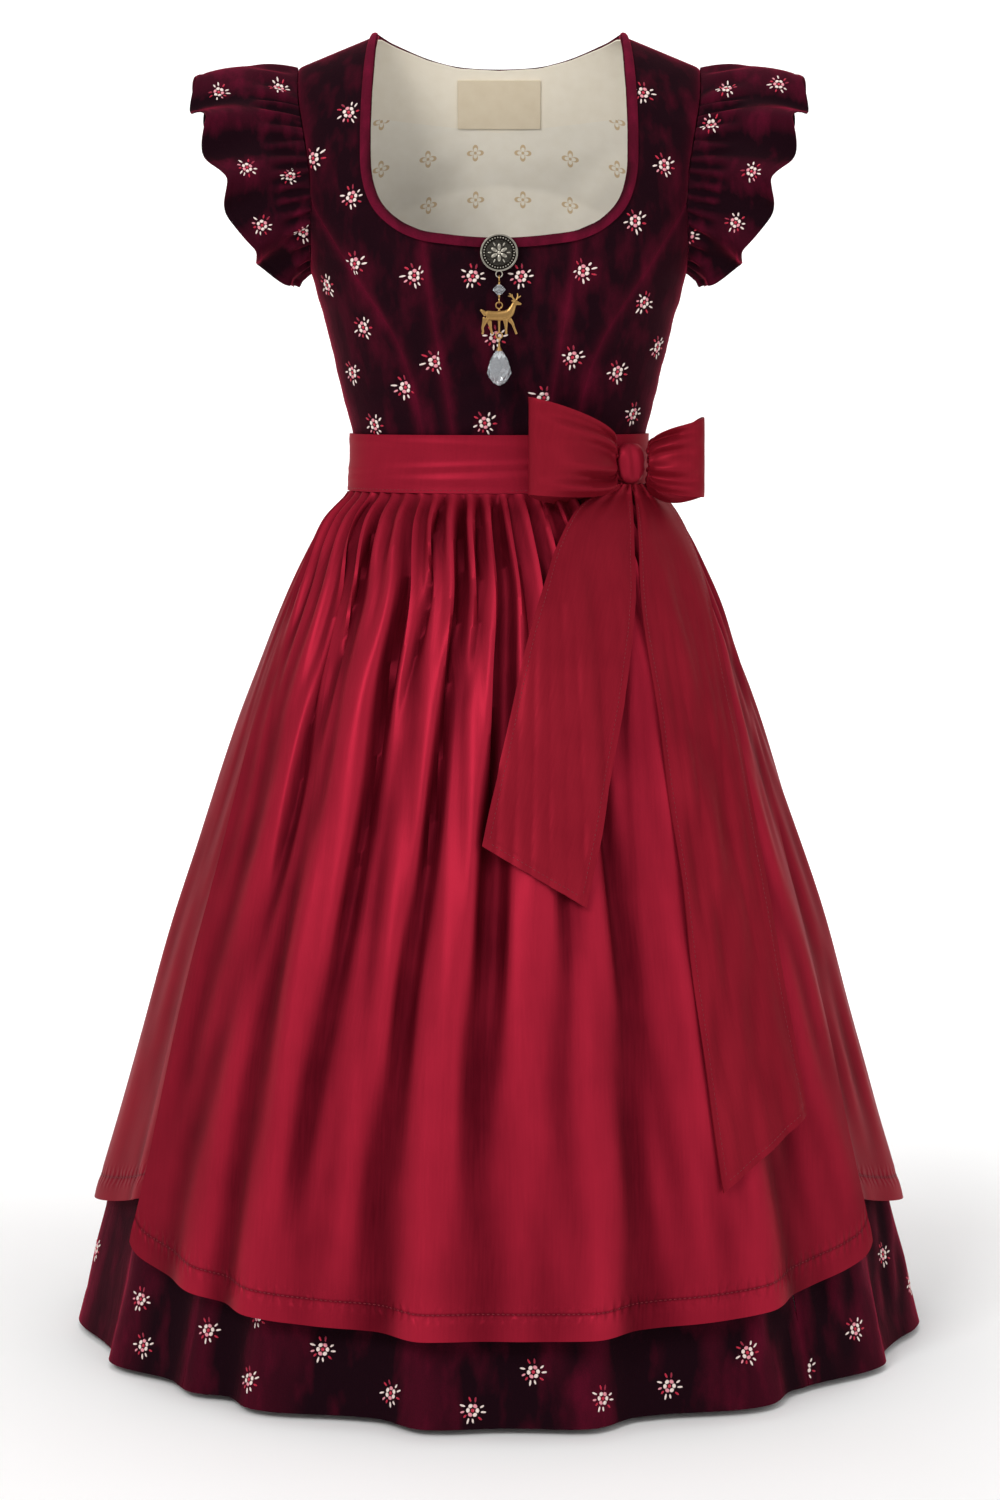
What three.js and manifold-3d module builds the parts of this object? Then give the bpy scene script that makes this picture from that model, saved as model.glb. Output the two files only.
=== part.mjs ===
// Dirndl, filled out: velvet bodice with ruffle sleeves, tied satin apron, two skirt layers, pendant.
// Millimetres, +Z up, the front faces -Y. The origin is midway between the shoulders, where the straps bear.

import * as THREE from 'three';
import { mergeVertices } from 'three/addons/utils/BufferGeometryUtils.js';
import Module from 'manifold-3d';

const wasm = await Module();
wasm.setup();

// Cloth thicknesses and the gaps between pieces
const BODICE_WALL = 2.0;
const VELVET_WALL = 1.5;
const SATIN_WALL = 1.2;
const TRIM_WALL = 1.2;
const LINING_WALL = 1.0;
const BAND_WALL = 2.6;
const SEAM_GAP = 0.4;
const SHOULDER_SEAM_HALF = 0.5;
const LAY_GAP = 0.6;

// Heights that several pieces share
const BAND_TOP_Z = -358;
const BAND_BOTTOM_Z = -411;
const SKIRT_TOP_Z = -411.4;
const VELVET_TOP_Z = -385.5;
const VELVET_HEM_Z = -1184;
const APRON_HEM_Z = -1108;
const SATIN_HEM_Z = -1071;

// Torso sections: half width, front and back depth, and how square the section is (1 is an ellipse)
const TORSO = [
  { z: 62, width: 215, front: 103, back: 92, corner: 0.62 },
  { z: 15, width: 215, front: 103, back: 92, corner: 0.62 },
  { z: -60, width: 210, front: 103, back: 92, corner: 0.62 },
  { z: -110, width: 204, front: 103, back: 95, corner: 0.62 },
  { z: -150, width: 193, front: 103, back: 97, corner: 0.66 },
  { z: -185, width: 181, front: 105, back: 98, corner: 0.74 },
  { z: -215, width: 174, front: 106, back: 97, corner: 0.8 },
  { z: -250, width: 164, front: 103, back: 94, corner: 0.84 },
  { z: -300, width: 152, front: 96, back: 90, corner: 0.88 },
  { z: -345, width: 141, front: 91, back: 88, corner: 0.93 },
  { z: -360, width: 137, front: 90, back: 88, corner: 0.95 },
  { z: -375, width: 135.2, front: 90, back: 88, corner: 0.95 },
  { z: -390, width: 136, front: 91, back: 89, corner: 0.95 },
  { z: -412, width: 138, front: 93, back: 92, corner: 0.95 },
];

// The shoulder line falls from the neck point, and the body closes towards it over its own height
const NECK_POINT = { x: 113, z: 15 };
const SHOULDER_SLOPE = 0.413;
const SHOULDER_HEIGHT = 165;
const SHOULDER_ROUND = 0.42;
const LEVEL_WIDTH = 80;

// Bust, shaped by the darts and the princess seams
const BUST = { x: 83, z: -218, spread: 52, height: 11 };

// Seams, from the waist up, as half width and height on the torso
const INNER_SEAM = [[39, -385], [42.2, -357], [49.6, -313], [57, -269], [64.5, -225], [71, -172.5]];
const PRINCESS_SEAM = [
  [66, -385], [70.4, -357], [79, -313], [95.5, -269], [123, -226], [140, -200], [157, -173], [172, -146],
];
const SIDE_SEAM_Z = [-385, -357, -313, -280, -255, -238, -224, -213];
const BACK_SEAM = [
  [60, -385], [61.8, -357], [66, -313], [76, -269], [98, -226], [125, -190], [152, -160], [176, -140],
];
const CENTRE_BACK_Z = [-385, -357, -313, -269, -226, -190, -155, -122];

// Front neckline from the inner seam to the shoulder, and the armhole beside it; drop is below the shoulder
const FRONT_STRAP = [
  { neckX: 92, neckZ: -162, armX: 157, armZ: -173 },
  { neckX: 108, neckZ: -145, armX: 172, armZ: -146 },
  { neckX: 116, neckZ: -120, armX: 174, armZ: -118 },
  { neckX: 117.5, neckZ: -85, armX: 178, armZ: -92 },
  { neckX: 117, neckZ: -52, armX: 182, armZ: -70 },
  { neckX: 115.5, armX: 185.5, drop: 35 },
  { neckX: 114.5, armX: 186.8, drop: 16 },
  { neckX: 113.6, armX: 187.2, drop: 6 },
  { neckX: 113.2, armX: 187.4, drop: 1.5 },
  { neckX: 113, armX: 187.5, drop: 0 },
];

// Back strap from the top of the back seam to the shoulder; the facing meets the lining at row two
const BACK_STRAP = [
  { centreZ: -95, armX: 180, armZ: -95 },
  { centreZ: -69, armX: 184, armZ: -50 },
  { armX: 186.8, drop: 16 },
  { armX: 187.2, drop: 6 },
  { armX: 187.4, drop: 1.5 },
  { armX: 187.5, drop: 0 },
];
const FACING_ROWS = 5;

// Neck edge of the back, and the columns of the front and back pieces
const BACK_NECK = [
  { x: 0, z: -11.4 }, { x: 39, z: -9.4 }, { x: 68, z: -2.6 }, { x: 97, z: 8 }, { x: 113, z: 15 },
];
const BACK_COLUMNS = [0, 0.208, 0.363, 0.517, 0.603, 0.8, 1];
const FRONT_NECK_X = [-71, -46, -24, 0, 24, 46, 71];
const FRONT_NECK_SAG = 7;
const ARMHOLE_SAG = 9;

// Neck binding: the edge it follows, the way it lies from there, and its width
const BINDING = [
  { face: 'front', x: 0, z: -179.5, outX: 0, outZ: -1, width: 9 },
  { face: 'front', x: 24, z: -178.7, outX: 0, outZ: -1, width: 9 },
  { face: 'front', x: 46, z: -176.6, outX: 0.1, outZ: -1, width: 9 },
  { face: 'front', x: 71, z: -172.5, outX: 0.3, outZ: -0.95, width: 9 },
  { face: 'front', x: 92, z: -162, outX: 0.5, outZ: -0.86, width: 9 },
  { face: 'front', x: 108, z: -145, outX: 0.8, outZ: -0.6, width: 9 },
  { face: 'front', x: 116, z: -120, outX: 0.97, outZ: -0.2, width: 9 },
  { face: 'front', x: 117.5, z: -85, outX: 1, outZ: 0, width: 9 },
  { face: 'front', x: 117, z: -52, outX: 1, outZ: 0, width: 9 },
  { face: 'front', x: 115.5, drop: 35, outX: 1, outZ: 0, width: 9 },
  { face: 'front', x: 114.5, drop: 16, outX: 1, outZ: 0, width: 8 },
  { face: 'front', x: 113.6, drop: 6, outX: 1, outZ: 0, width: 7 },
  { face: 'front', x: 113.2, drop: 1.5, outX: 1, outZ: 0, width: 6 },
  { face: 'front', x: 113, drop: 0, outX: 1, outZ: 0, width: 5.5 },
  { face: 'back', x: 112, z: 14.5, outX: 0.8, outZ: -0.55, width: 5 },
  { face: 'back', x: 106, z: 11.9, outX: 0.7, outZ: -0.7, width: 4.5 },
  { face: 'back', x: 97, z: 8, outX: 0.5, outZ: -0.86, width: 4 },
  { face: 'back', x: 68, z: -2.6, outX: 0.25, outZ: -0.97, width: 3.5 },
  { face: 'back', x: 39, z: -9.4, outX: 0.1, outZ: -1, width: 3.5 },
  { face: 'back', x: 0, z: -11.4, outX: 0, outZ: -1, width: 3.5 },
];

const LABEL = { width: 80, top: -20, bottom: -65 };

// Ruffle sleeve: seam points round the armhole from underarm to underarm, and its free edge;
// place is how far along a side piece's top edge the point lies
const RUFFLE = [
  { face: 'front', place: 0.86, x: 188, y: -6, z: -221 },
  { face: 'front', place: 0.6, x: 204, y: -30, z: -214 },
  { face: 'front', place: 0.24, x: 222, y: -58, z: -198 },
  { face: 'front', seamX: 172, seamZ: -146, x: 238, y: -82, z: -166 },
  { face: 'front', seamX: 174, seamZ: -118, x: 250, y: -90, z: -134 },
  { face: 'front', seamX: 178, seamZ: -92, x: 262, y: -85, z: -101 },
  { face: 'front', seamX: 182, seamZ: -70, x: 273, y: -71, z: -71 },
  { face: 'front', seamX: 185.5, drop: 35, x: 281, y: -46, z: -47 },
  { face: 'front', seamX: 187.5, drop: 0, x: 285, y: 0, z: -30 },
  { face: 'back', seamX: 186.8, drop: 16, x: 281, y: 36, z: -40 },
  { face: 'back', seamX: 184, seamZ: -50, x: 275, y: 58, z: -64 },
  { face: 'back', seamX: 180, seamZ: -95, x: 261, y: 74, z: -102 },
  { face: 'back', seamX: 176, seamZ: -140, x: 243, y: 74, z: -148 },
  { face: 'back', place: 0.24, x: 222, y: 52, z: -194 },
  { face: 'back', place: 0.6, x: 204, y: 28, z: -213 },
  { face: 'back', place: 0.86, x: 188, y: 6, z: -221 },
];
const RUFFLE_START = 0.95;
const RUFFLE_WAVES = 9;
const RUFFLE_COLUMNS = 45;
const RUFFLE_WAVE_HEIGHT = 11;
const RUFFLE_SCALLOP = 5;
const RUFFLE_GATHER_HEIGHT = 1.2;
const RUFFLE_GATHER_END = 0.38;
const RUFFLE_ROWS = [0, 0.13, 0.38, 0.68, 1];

// Satin layer sections: half width and half depth; the velvet lies inside them and the apron outside
const SKIRT = [
  { z: -385, width: 138.5, depth: 93, velvetInset: 3.3, apronLift: 3 },
  { z: -411, width: 139.6, depth: 95, velvetInset: 3.6, apronLift: 3 },
  { z: -437, width: 160, depth: 115, velvetInset: 9, apronLift: 6 },
  { z: -474, width: 181, depth: 136, velvetInset: 12, apronLift: 8 },
  { z: -526, width: 206, depth: 160, velvetInset: 13, apronLift: 9 },
  { z: -577, width: 227, depth: 181, velvetInset: 13, apronLift: 9 },
  { z: -629, width: 246, depth: 199, velvetInset: 13, apronLift: 9 },
  { z: -727, width: 278, depth: 229, velvetInset: 13, apronLift: 9 },
  { z: -817, width: 307, depth: 256, velvetInset: 13, apronLift: 9 },
  { z: -916, width: 334, depth: 281, velvetInset: 13, apronLift: 9 },
  { z: -1000, width: 357, depth: 302, velvetInset: 13, apronLift: 9 },
  { z: -1072, width: 377, depth: 319, velvetInset: 13, apronLift: 9 },
  { z: -1110, width: 386, depth: 327, velvetInset: 13, apronLift: 9 },
  { z: -1190, width: 405, depth: 342, velvetInset: 13, apronLift: 9 },
];

// Azimuths of the open edges, from the front, at the viewer's left and right
const EDGES = [
  { z: -411, apronLeft: 80, apronRight: 85, satinLeft: 72, satinRight: 76 },
  { z: -430, apronLeft: 77, apronRight: 84, satinLeft: 70, satinRight: 75 },
  { z: -498, apronLeft: 68, apronRight: 79, satinLeft: 62, satinRight: 71 },
  { z: -579, apronLeft: 64, apronRight: 73, satinLeft: 58, satinRight: 66 },
  { z: -670, apronLeft: 60.4, apronRight: 67.5, satinLeft: 56, satinRight: 62 },
  { z: -780, apronLeft: 59, apronRight: 64, satinLeft: 57, satinRight: 61 },
  { z: -872, apronLeft: 58.5, apronRight: 61.5, satinLeft: 59.4, satinRight: 62.2 },
  { z: -1000, apronLeft: 57.5, apronRight: 58.8, satinLeft: 59, satinRight: 60.4 },
  { z: -1110, apronLeft: 57, apronRight: 57.2, satinLeft: 58.6, satinRight: 59 },
];

// Large folds that all skirt layers share: crest, reach to the front and to the back, height at the hem
const FOLDS = [
  { azimuth: 11, inner: 16, outer: 7, height: 20 },
  { azimuth: 35, inner: 15, outer: 7, height: 18 },
  { azimuth: 59, inner: 14, outer: 7, height: 16 },
  { azimuth: 81, inner: 12, outer: 9, height: 13 },
  { azimuth: 104, inner: 13, outer: 9, height: 16 },
  { azimuth: 127, inner: 12, outer: 8, height: 18 },
  { azimuth: 150, inner: 13, outer: 9, height: 15 },
  { azimuth: 172, inner: 12, outer: 10, height: 18 },
  { azimuth: -9, inner: 16, outer: 7, height: 20 },
  { azimuth: -32, inner: 14, outer: 6, height: 16 },
  { azimuth: -43, inner: 6, outer: 6, height: 11 },
  { azimuth: -60, inner: 11, outer: 7, height: 16 },
  { azimuth: -83, inner: 14, outer: 8, height: 13 },
  { azimuth: -107, inner: 14, outer: 9, height: 17 },
  { azimuth: -133, inner: 13, outer: 9, height: 15 },
  { azimuth: -157, inner: 13, outer: 9, height: 18 },
];
const FOLD_MIDDLE = 8;
const FOLD_GROWTH = 1.3;

// Soft folds of the apron alone, as crest places across its width near the top and near the hem
const APRON_FOLDS = [
  { top: 0.11, bottom: 0.07, reach: 0.05, height: 4 },
  { top: 0.25, bottom: 0.19, reach: 0.06, height: 8 },
  { top: 0.37, bottom: 0.31, reach: 0.045, height: 7 },
  { top: 0.455, bottom: 0.41, reach: 0.04, height: 7 },
  { top: 0.53, bottom: 0.52, reach: 0.05, height: 8 },
  { top: 0.61, bottom: 0.62, reach: 0.045, height: 7 },
  { top: 0.71, bottom: 0.72, reach: 0.05, height: 7 },
  { top: 0.82, bottom: 0.83, reach: 0.05, height: 6 },
  { top: 0.91, bottom: 0.93, reach: 0.04, height: 4 },
];

// Gathers: how many, and their height from the waist down
const APRON_GATHERS = 26;
const SATIN_SIDE_GATHERS = 8;
const SATIN_BACK_GATHERS = 12;
const VELVET_GATHERS = 9;
const GATHER = [
  { z: -385, height: 0.6 },
  { z: -411, height: 1.0 },
  { z: -425, height: 2.2 },
  { z: -445, height: 2.9 },
  { z: -480, height: 2.2 },
  { z: -540, height: 0.8 },
  { z: -600, height: 0 },
  { z: -1200, height: 0 },
];
const SKIRT_ROWS = [0, 0.02, 0.055, 0.105, 0.18, 0.3, 0.46, 0.64, 0.83, 1];
const VELVET_ROWS = [0, 0.032, 0.065, 0.11, 0.2, 0.42, 0.66, 0.86, 1];
const VELVET_SPLIT = 45;
const SATIN_SPLIT = 130;

// Waistband sections
const BAND = [
  { z: -358, width: 140.8, depth: 94 },
  { z: -384, width: 141.0, depth: 95 },
  { z: -411, width: 142.8, depth: 97.5 },
];
const BAND_ROWS = [0, 0.33, 0.66, 1];
const BAND_COLUMNS = 40;

// Bow: the knot sits on the band at an azimuth, loops and tails leave it
const KNOT = { azimuth: 52, z: -384, across: 17.5, thick: 11, tall: 18.5, seat: 0.5 };
const LOOPS = {
  left: {
    fromX: 106.3, fromY: -81.6, toX: 27, toY: -124, fromZ: -384, toZ: -367,
    fromTall: 30, toTall: 88, full: 13,
  },
  right: {
    fromX: 137, fromY: -66, toX: 189, toY: -52, fromZ: -384, toZ: -379, fromTall: 28, toTall: 74, full: 14,
  },
};
const LOOP_STEPS = 24;
const LOOP_ROWS = [0, 0.2, 0.4, 0.6, 0.8, 1];
const LOOP_PLEAT_HEIGHT = 2.2;

// Bow tails from the knot down: the two edges of each strip
const SHORT_TAIL = [
  { leftX: 106.8, leftZ: -403.1, rightX: 120.5, rightZ: -402.9 },
  { leftX: 72, leftZ: -424, rightX: 122, rightZ: -426 },
  { leftX: 52, leftZ: -456, rightX: 123, rightZ: -458 },
  { leftX: 40, leftZ: -490, rightX: 122, rightZ: -496 },
  { leftX: 27, leftZ: -530, rightX: 118, rightZ: -540 },
  { leftX: 14, leftZ: -582, rightX: 109, rightZ: -598 },
  { leftX: 1, leftZ: -640, rightX: 96, rightZ: -662 },
  { leftX: -8, leftZ: -678, rightX: 85, rightZ: -716 },
  { leftX: -14.6, leftZ: -709, rightX: 75.3, rightZ: -761 },
];
const LONG_TAIL = [
  { leftX: 121.6, leftZ: -403, rightX: 136, rightZ: -403 },
  { leftX: 125, leftZ: -426, rightX: 161, rightZ: -424 },
  { leftX: 126, leftZ: -462, rightX: 179, rightZ: -458 },
  { leftX: 127, leftZ: -508, rightX: 191, rightZ: -500 },
  { leftX: 137, leftZ: -586, rightX: 208, rightZ: -586 },
  { leftX: 148, leftZ: -662, rightX: 223, rightZ: -666 },
  { leftX: 157, leftZ: -735, rightX: 236, rightZ: -744 },
  { leftX: 167, leftZ: -817, rightX: 248, rightZ: -818 },
  { leftX: 177, leftZ: -900, rightX: 260, rightZ: -886 },
  { leftX: 185.5, leftZ: -960, rightX: 266, rightZ: -924 },
  { leftX: 191.3, leftZ: -1001, rightX: 269.6, rightZ: -952 },
];
const TAIL_COLUMNS = [0, 0.17, 0.34, 0.5, 0.66, 0.83, 1];
const TAIL_CLEARANCE = 2;
const TAIL_PLEAT_HEIGHT = 4;
const TAIL_START_LIFT = 10;

// Pendant: a coin, a bead on two eyes, a stag charm and a crystal drop, each hung in the ring above it
const PENDANT_Y = -116;
const COIN = { z: -193, radius: 17, thick: 2.4, rim: 1.6, relief: 0.5, pinRadius: 4 };
const RING = { radius: 2.9, wire: 0.65, slack: 0.3 };
const LINK_STEP = 2 * (RING.radius - RING.wire) - RING.slack;
const COIN_SEAT = LAY_GAP + TRIM_WALL + 0.3;
const COIN_RING_Z = -212.4;
const BEAD_TOP_EYE_Z = COIN_RING_Z - LINK_STEP;
const BEAD = { z: -226.5, radius: 6, height: 10.4, wire: 1 };
const CHARM_TOP_RING_Z = -240.5;
const BEAD_LOW_EYE_Z = CHARM_TOP_RING_Z + LINK_STEP;
const CHARM = { thick: 3, bottom: -267 };
const CHARM_LOW_RING_Z = -267.6;
const DROP_EYE_Z = CHARM_LOW_RING_Z - LINK_STEP;
const SHANK_REACH = 3.2;
const STAG = [
  [-14, 0], [-11.5, 0], [-9, 9.5], [-3, 10.5], [-1.6, 10.4], [-1.6, 2], [1.6, 2], [1.6, 9.9], [2.2, 9.7],
  [5.5, 0], [8, 0], [8.2, 10], [10.3, 14.1], [13.5, 16.4], [17.2, 17.6],
  [17.6, 19.4], [13.6, 21.6], [13.4, 25],
  [16.8, 28.6], [15.4, 29.4], [11.6, 26.4], [9, 29.6], [7.4, 28.8], [9.6, 24.6], [8.6, 21.4], [4.6, 18.6],
  [2.6, 18.2], [2.2, 23.8], [-2.2, 23.8], [-2.6, 17.3], [-10.5, 17.8], [-14.6, 16], [-16.4, 12.6],
  [-14.6, 12.2], [-13.6, 8],
];
const DROP = { top: -277.5, neck: 1.6, bottom: -313, radius: 11, shoulder: -296, sides: 8 };

// Materials
const FINISHES = {
  velvet: { color: 0x3a0512, roughness: 0.85, metalness: 0 },
  satin: { color: 0xa0202f, roughness: 0.4, metalness: 0 },
  facing: { color: 0xeee3cf, roughness: 0.8, metalness: 0 },
  lining: { color: 0xe6dccb, roughness: 0.8, metalness: 0 },
  label: { color: 0xdccdb4, roughness: 0.7, metalness: 0 },
  silver: { color: 0xa8a49c, roughness: 0.35, metalness: 1 },
  gold: { color: 0xb8924a, roughness: 0.35, metalness: 1 },
  crystal: { color: 0xdfe6ea, roughness: 0.05, metalness: 0 },
};

// Numbers
const { degToRad, radToDeg, lerp, clamp } = THREE.MathUtils;
const signedPower = (value, exponent) => Math.sign(value) * Math.abs(value) ** exponent;
const steps = (count) => Array.from({ length: count + 1 }, (_, i) => i / count);
const seamSteps = (seam) => steps(seam.length - 1);

// Smooth value of one named column of a table whose z falls from row to row
function column(table, name, z) {
  const last = table.length - 2;
  let i = 0;
  while (i < last && table[i + 1].z > z) i += 1;
  const slope = (from, to) => (table[to][name] - table[from][name]) / (table[to].z - table[from].z);
  const span = table[i + 1].z - table[i].z;
  const s = clamp((z - table[i].z) / span, 0, 1);
  const start = i > 0 ? slope(i - 1, i + 1) : slope(i, i + 1);
  const end = i < last ? slope(i, i + 2) : slope(i, i + 1);
  const rise = table[i + 1][name] - table[i][name];
  const blend = s * s * (3 - 2 * s);
  return table[i][name] + rise * blend + span * s * (1 - s) * ((1 - s) * start - s * end);
}

// Straight interpolation along a list at a place from 0 to 1
function along(list, place) {
  const at = clamp(place, 0, 1) * (list.length - 1);
  const i = Math.min(Math.floor(at), list.length - 2);
  return lerp(list[i], list[i + 1], at - i);
}

// Closed meshes
function closedGeometry(points, faces) {
  let volume = 0;
  for (const [a, b, c] of faces) {
    volume += points[a].dot(new THREE.Vector3().crossVectors(points[b], points[c]));
  }
  const outward = volume > 0 ? faces : faces.map(([a, b, c]) => [a, c, b]);
  const geometry = new THREE.BufferGeometry();
  geometry.setAttribute('position', new THREE.Float32BufferAttribute(points.flatMap((p) => p.toArray()), 3));
  geometry.setIndex(outward.flat());
  geometry.computeVertexNormals();
  return geometry;
}

// Unit normal of a sheet by the difference of its neighbouring points
function sheetNormal(sheet, u, v, ring) {
  const step = 1e-4;
  const before = ring ? u - step : Math.max(u - step, 0);
  const after = ring ? u + step : Math.min(u + step, 1);
  const across = sheet(after, v).sub(sheet(before, v));
  const down = sheet(u, Math.min(v + step, 1)).sub(sheet(u, Math.max(v - step, 0)));
  return across.cross(down).normalize();
}

// Wall over a sheet of points sheet(u, v): its outer face lies lift outside the sheet
function wall({ sheet, us, vs, thickness, lift = 0, side = 1, ring = false }) {
  const outer = [];
  const inner = [];
  for (const v of vs) {
    for (const u of us) {
      const normal = sheetNormal(sheet, u, v, ring).multiplyScalar(side);
      outer.push(sheet(u, v).addScaledVector(normal, lift));
      inner.push(sheet(u, v).addScaledVector(normal, lift - thickness));
    }
  }
  const [wide, high] = [us.length, vs.length];
  const faces = [];
  const points = [...outer, ...inner];
  const quad = (a, b, c, d) => {
    const straight = points[a].distanceToSquared(points[c]) <= points[b].distanceToSquared(points[d]) + 1e-3;
    if (straight) faces.push([a, b, c], [a, c, d]);
    else faces.push([a, b, d], [b, c, d]);
  };
  const cells = ring ? wide : wide - 1;
  const at = (i, j) => j * wide + (i % wide);
  const behind = outer.length;
  for (let j = 0; j < high - 1; j += 1) {
    for (let i = 0; i < cells; i += 1) {
      quad(at(i, j), at(i + 1, j), at(i + 1, j + 1), at(i, j + 1));
      quad(behind + at(i, j + 1), behind + at(i + 1, j + 1), behind + at(i + 1, j), behind + at(i, j));
    }
    if (!ring) {
      quad(at(0, j + 1), behind + at(0, j + 1), behind + at(0, j), at(0, j));
      quad(at(wide - 1, j), behind + at(wide - 1, j), behind + at(wide - 1, j + 1), at(wide - 1, j + 1));
    }
  }
  for (let i = 0; i < cells; i += 1) {
    quad(at(i + 1, 0), at(i, 0), behind + at(i, 0), behind + at(i + 1, 0));
    quad(at(i, high - 1), at(i + 1, high - 1), behind + at(i + 1, high - 1), behind + at(i, high - 1));
  }
  return closedGeometry(points, faces);
}

// Joins closed geometries into one body
function joined(geometries) {
  const solids = geometries.map((geometry) => {
    const bare = geometry.index ? geometry.clone() : geometry;
    bare.deleteAttribute('normal');
    bare.deleteAttribute('uv');
    const merged = mergeVertices(bare, 1e-4);
    return new wasm.Manifold(new wasm.Mesh({
      numProp: 3,
      vertProperties: merged.attributes.position.array,
      triVerts: new Uint32Array(merged.index.array),
    }));
  });
  const mesh = solids.reduce((sum, solid) => sum.add(solid)).getMesh();
  const geometry = new THREE.BufferGeometry();
  geometry.setAttribute('position', new THREE.Float32BufferAttribute(mesh.vertProperties, 3));
  geometry.setIndex([...mesh.triVerts]);
  geometry.computeVertexNormals();
  return geometry;
}

// Torso surface; the shoulder line levels out towards the body's middle
const levelX = (x) => (Math.abs(x) < LEVEL_WIDTH ? (LEVEL_WIDTH + x * x / LEVEL_WIDTH) / 2 : Math.abs(x));
const shoulderZ = (x) => NECK_POINT.z - SHOULDER_SLOPE * (levelX(x) - NECK_POINT.x);

function torsoPoint(azimuth, z) {
  const [s, c] = [Math.sin(degToRad(azimuth)), Math.cos(degToRad(azimuth))];
  const corner = column(TORSO, 'corner', z);
  const x = column(TORSO, 'width', z) * signedPower(s, corner);
  const closing = clamp((shoulderZ(x) - z) / SHOULDER_HEIGHT, 0, 1) ** SHOULDER_ROUND;
  const depth = column(TORSO, c > 0 ? 'front' : 'back', z) * closing;
  const away = ((Math.abs(x) - BUST.x) ** 2 + (z - BUST.z) ** 2) / (2 * BUST.spread ** 2);
  const bust = c > 0 ? BUST.height * Math.exp(-away) * Math.sqrt(c) * closing : 0;
  return new THREE.Vector3(x, -signedPower(c, corner) * depth - bust, z);
}

function azimuthAt(x, z, face) {
  const share = clamp(Math.abs(x) / column(TORSO, 'width', z), 0, 1) ** (1 / column(TORSO, 'corner', z));
  const turn = radToDeg(Math.asin(share));
  return Math.sign(x) * (face === 'front' ? turn : 180 - turn);
}

const torsoAt = (x, z, face) => {
  const point = torsoPoint(azimuthAt(x, z, face), z);
  if (x === 0) point.y = face === 'front' ? point.y : torsoPoint(180, z).y;
  return point;
};

// Bodice pieces lie between two edges given row by row; u runs from the inner edge to the outer one
const inset = (u, width) => {
  const margin = SEAM_GAP / 2 / width;
  return lerp(margin, 1 - margin, u);
};

function frontStrapRows() {
  const seam = INNER_SEAM.map(([x, z], i) => {
    const [armX, armZ] = PRINCESS_SEAM[i];
    return { innerX: x, innerZ: z, outerX: armX, outerZ: armZ };
  });
  const strap = FRONT_STRAP.map(({ neckX, neckZ, armX, armZ, drop }) => ({
    innerX: neckX,
    innerZ: neckZ ?? shoulderZ(neckX) - drop,
    outerX: armX,
    outerZ: armZ ?? shoulderZ(armX) - drop,
  }));
  return [...seam, ...strap];
}

function backNeckZ(x) {
  const i = Math.max(BACK_NECK.findIndex((point) => point.x >= x), 1);
  const [low, high] = [BACK_NECK[i - 1], BACK_NECK[i]];
  return lerp(low.z, high.z, (x - low.x) / (high.x - low.x));
}

const backTopZ = (x) => (x < NECK_POINT.x ? backNeckZ(x) : shoulderZ(x));

function backRows() {
  const seam = CENTRE_BACK_Z.map((centreZ, i) => {
    const [armX, armZ] = BACK_SEAM[i];
    return { innerZ: centreZ, outerX: armX, outerZ: armZ };
  });
  const strap = BACK_STRAP.map(({ centreZ, armX, armZ, drop }) => ({
    innerZ: centreZ ?? backNeckZ(0) - drop,
    outerX: armX,
    outerZ: armZ ?? shoulderZ(armX) - drop,
    drop,
  }));
  return [...seam, ...strap];
}

// A point between the edges of one row, on the front or back face
function rowPoint(row, u, face, mirror) {
  const innerX = row.innerX ?? 0;
  const x = lerp(innerX, row.outerX, u);
  const z = row.drop === undefined || face === 'front'
    ? lerp(row.innerZ, row.outerZ, u)
    : backTopZ(x) - row.drop;
  const point = torsoAt(mirror * Math.max(x, 1e-6), z, face);
  const closing = clamp((shoulderZ(x) - z) / SHOULDER_HEIGHT, 0, 1) ** SHOULDER_ROUND;
  point.y += (face === 'front' ? -1 : 1) * SHOULDER_SEAM_HALF * (1 - closing);
  return point;
}

function rowSheet(rows, face, mirror) {
  return (u, v) => {
    const at = clamp(v, 0, 1) * (rows.length - 1);
    const i = Math.min(Math.floor(at), rows.length - 2);
    const widths = [rows[i], rows[i + 1]].map((row) => row.outerX - (row.innerX ?? 0));
    const place = inset(u, lerp(widths[0], widths[1], at - i));
    const low = rowPoint(rows[i], place, face, mirror);
    const high = rowPoint(rows[i + 1], place, face, mirror);
    return low.lerp(high, at - i);
  };
}

// Both halves of the back as one sheet; u runs from one armhole to the other
function bothHalvesSheet(rows) {
  return (u, v) => {
    const across = 2 * u - 1;
    const at = clamp(v, 0, 1) * (rows.length - 1);
    const i = Math.min(Math.floor(at), rows.length - 2);
    const mirror = across < 0 ? -1 : 1;
    const low = rowPoint(rows[i], Math.abs(across), 'back', mirror);
    const high = rowPoint(rows[i + 1], Math.abs(across), 'back', mirror);
    return low.lerp(high, at - i);
  };
}

// Side pieces run from a seam given as points to the side seam, by azimuth
function sidePieceSheet(seam, face, mirror) {
  return (u, v) => {
    const x = along(seam.map((point) => point[0]), v);
    const seamZ = along(seam.map((point) => point[1]), v);
    const sideZ = along(SIDE_SEAM_Z, v);
    const from = azimuthAt(x, seamZ, face);
    const place = inset(u, Math.abs(column(TORSO, 'width', sideZ) - x) + 40);
    const sag = ARMHOLE_SAG * v ** 6 * Math.sin(Math.PI * place);
    return torsoPoint(mirror * lerp(from, 90, place), lerp(seamZ, sideZ, place) - sag);
  };
}

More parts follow.
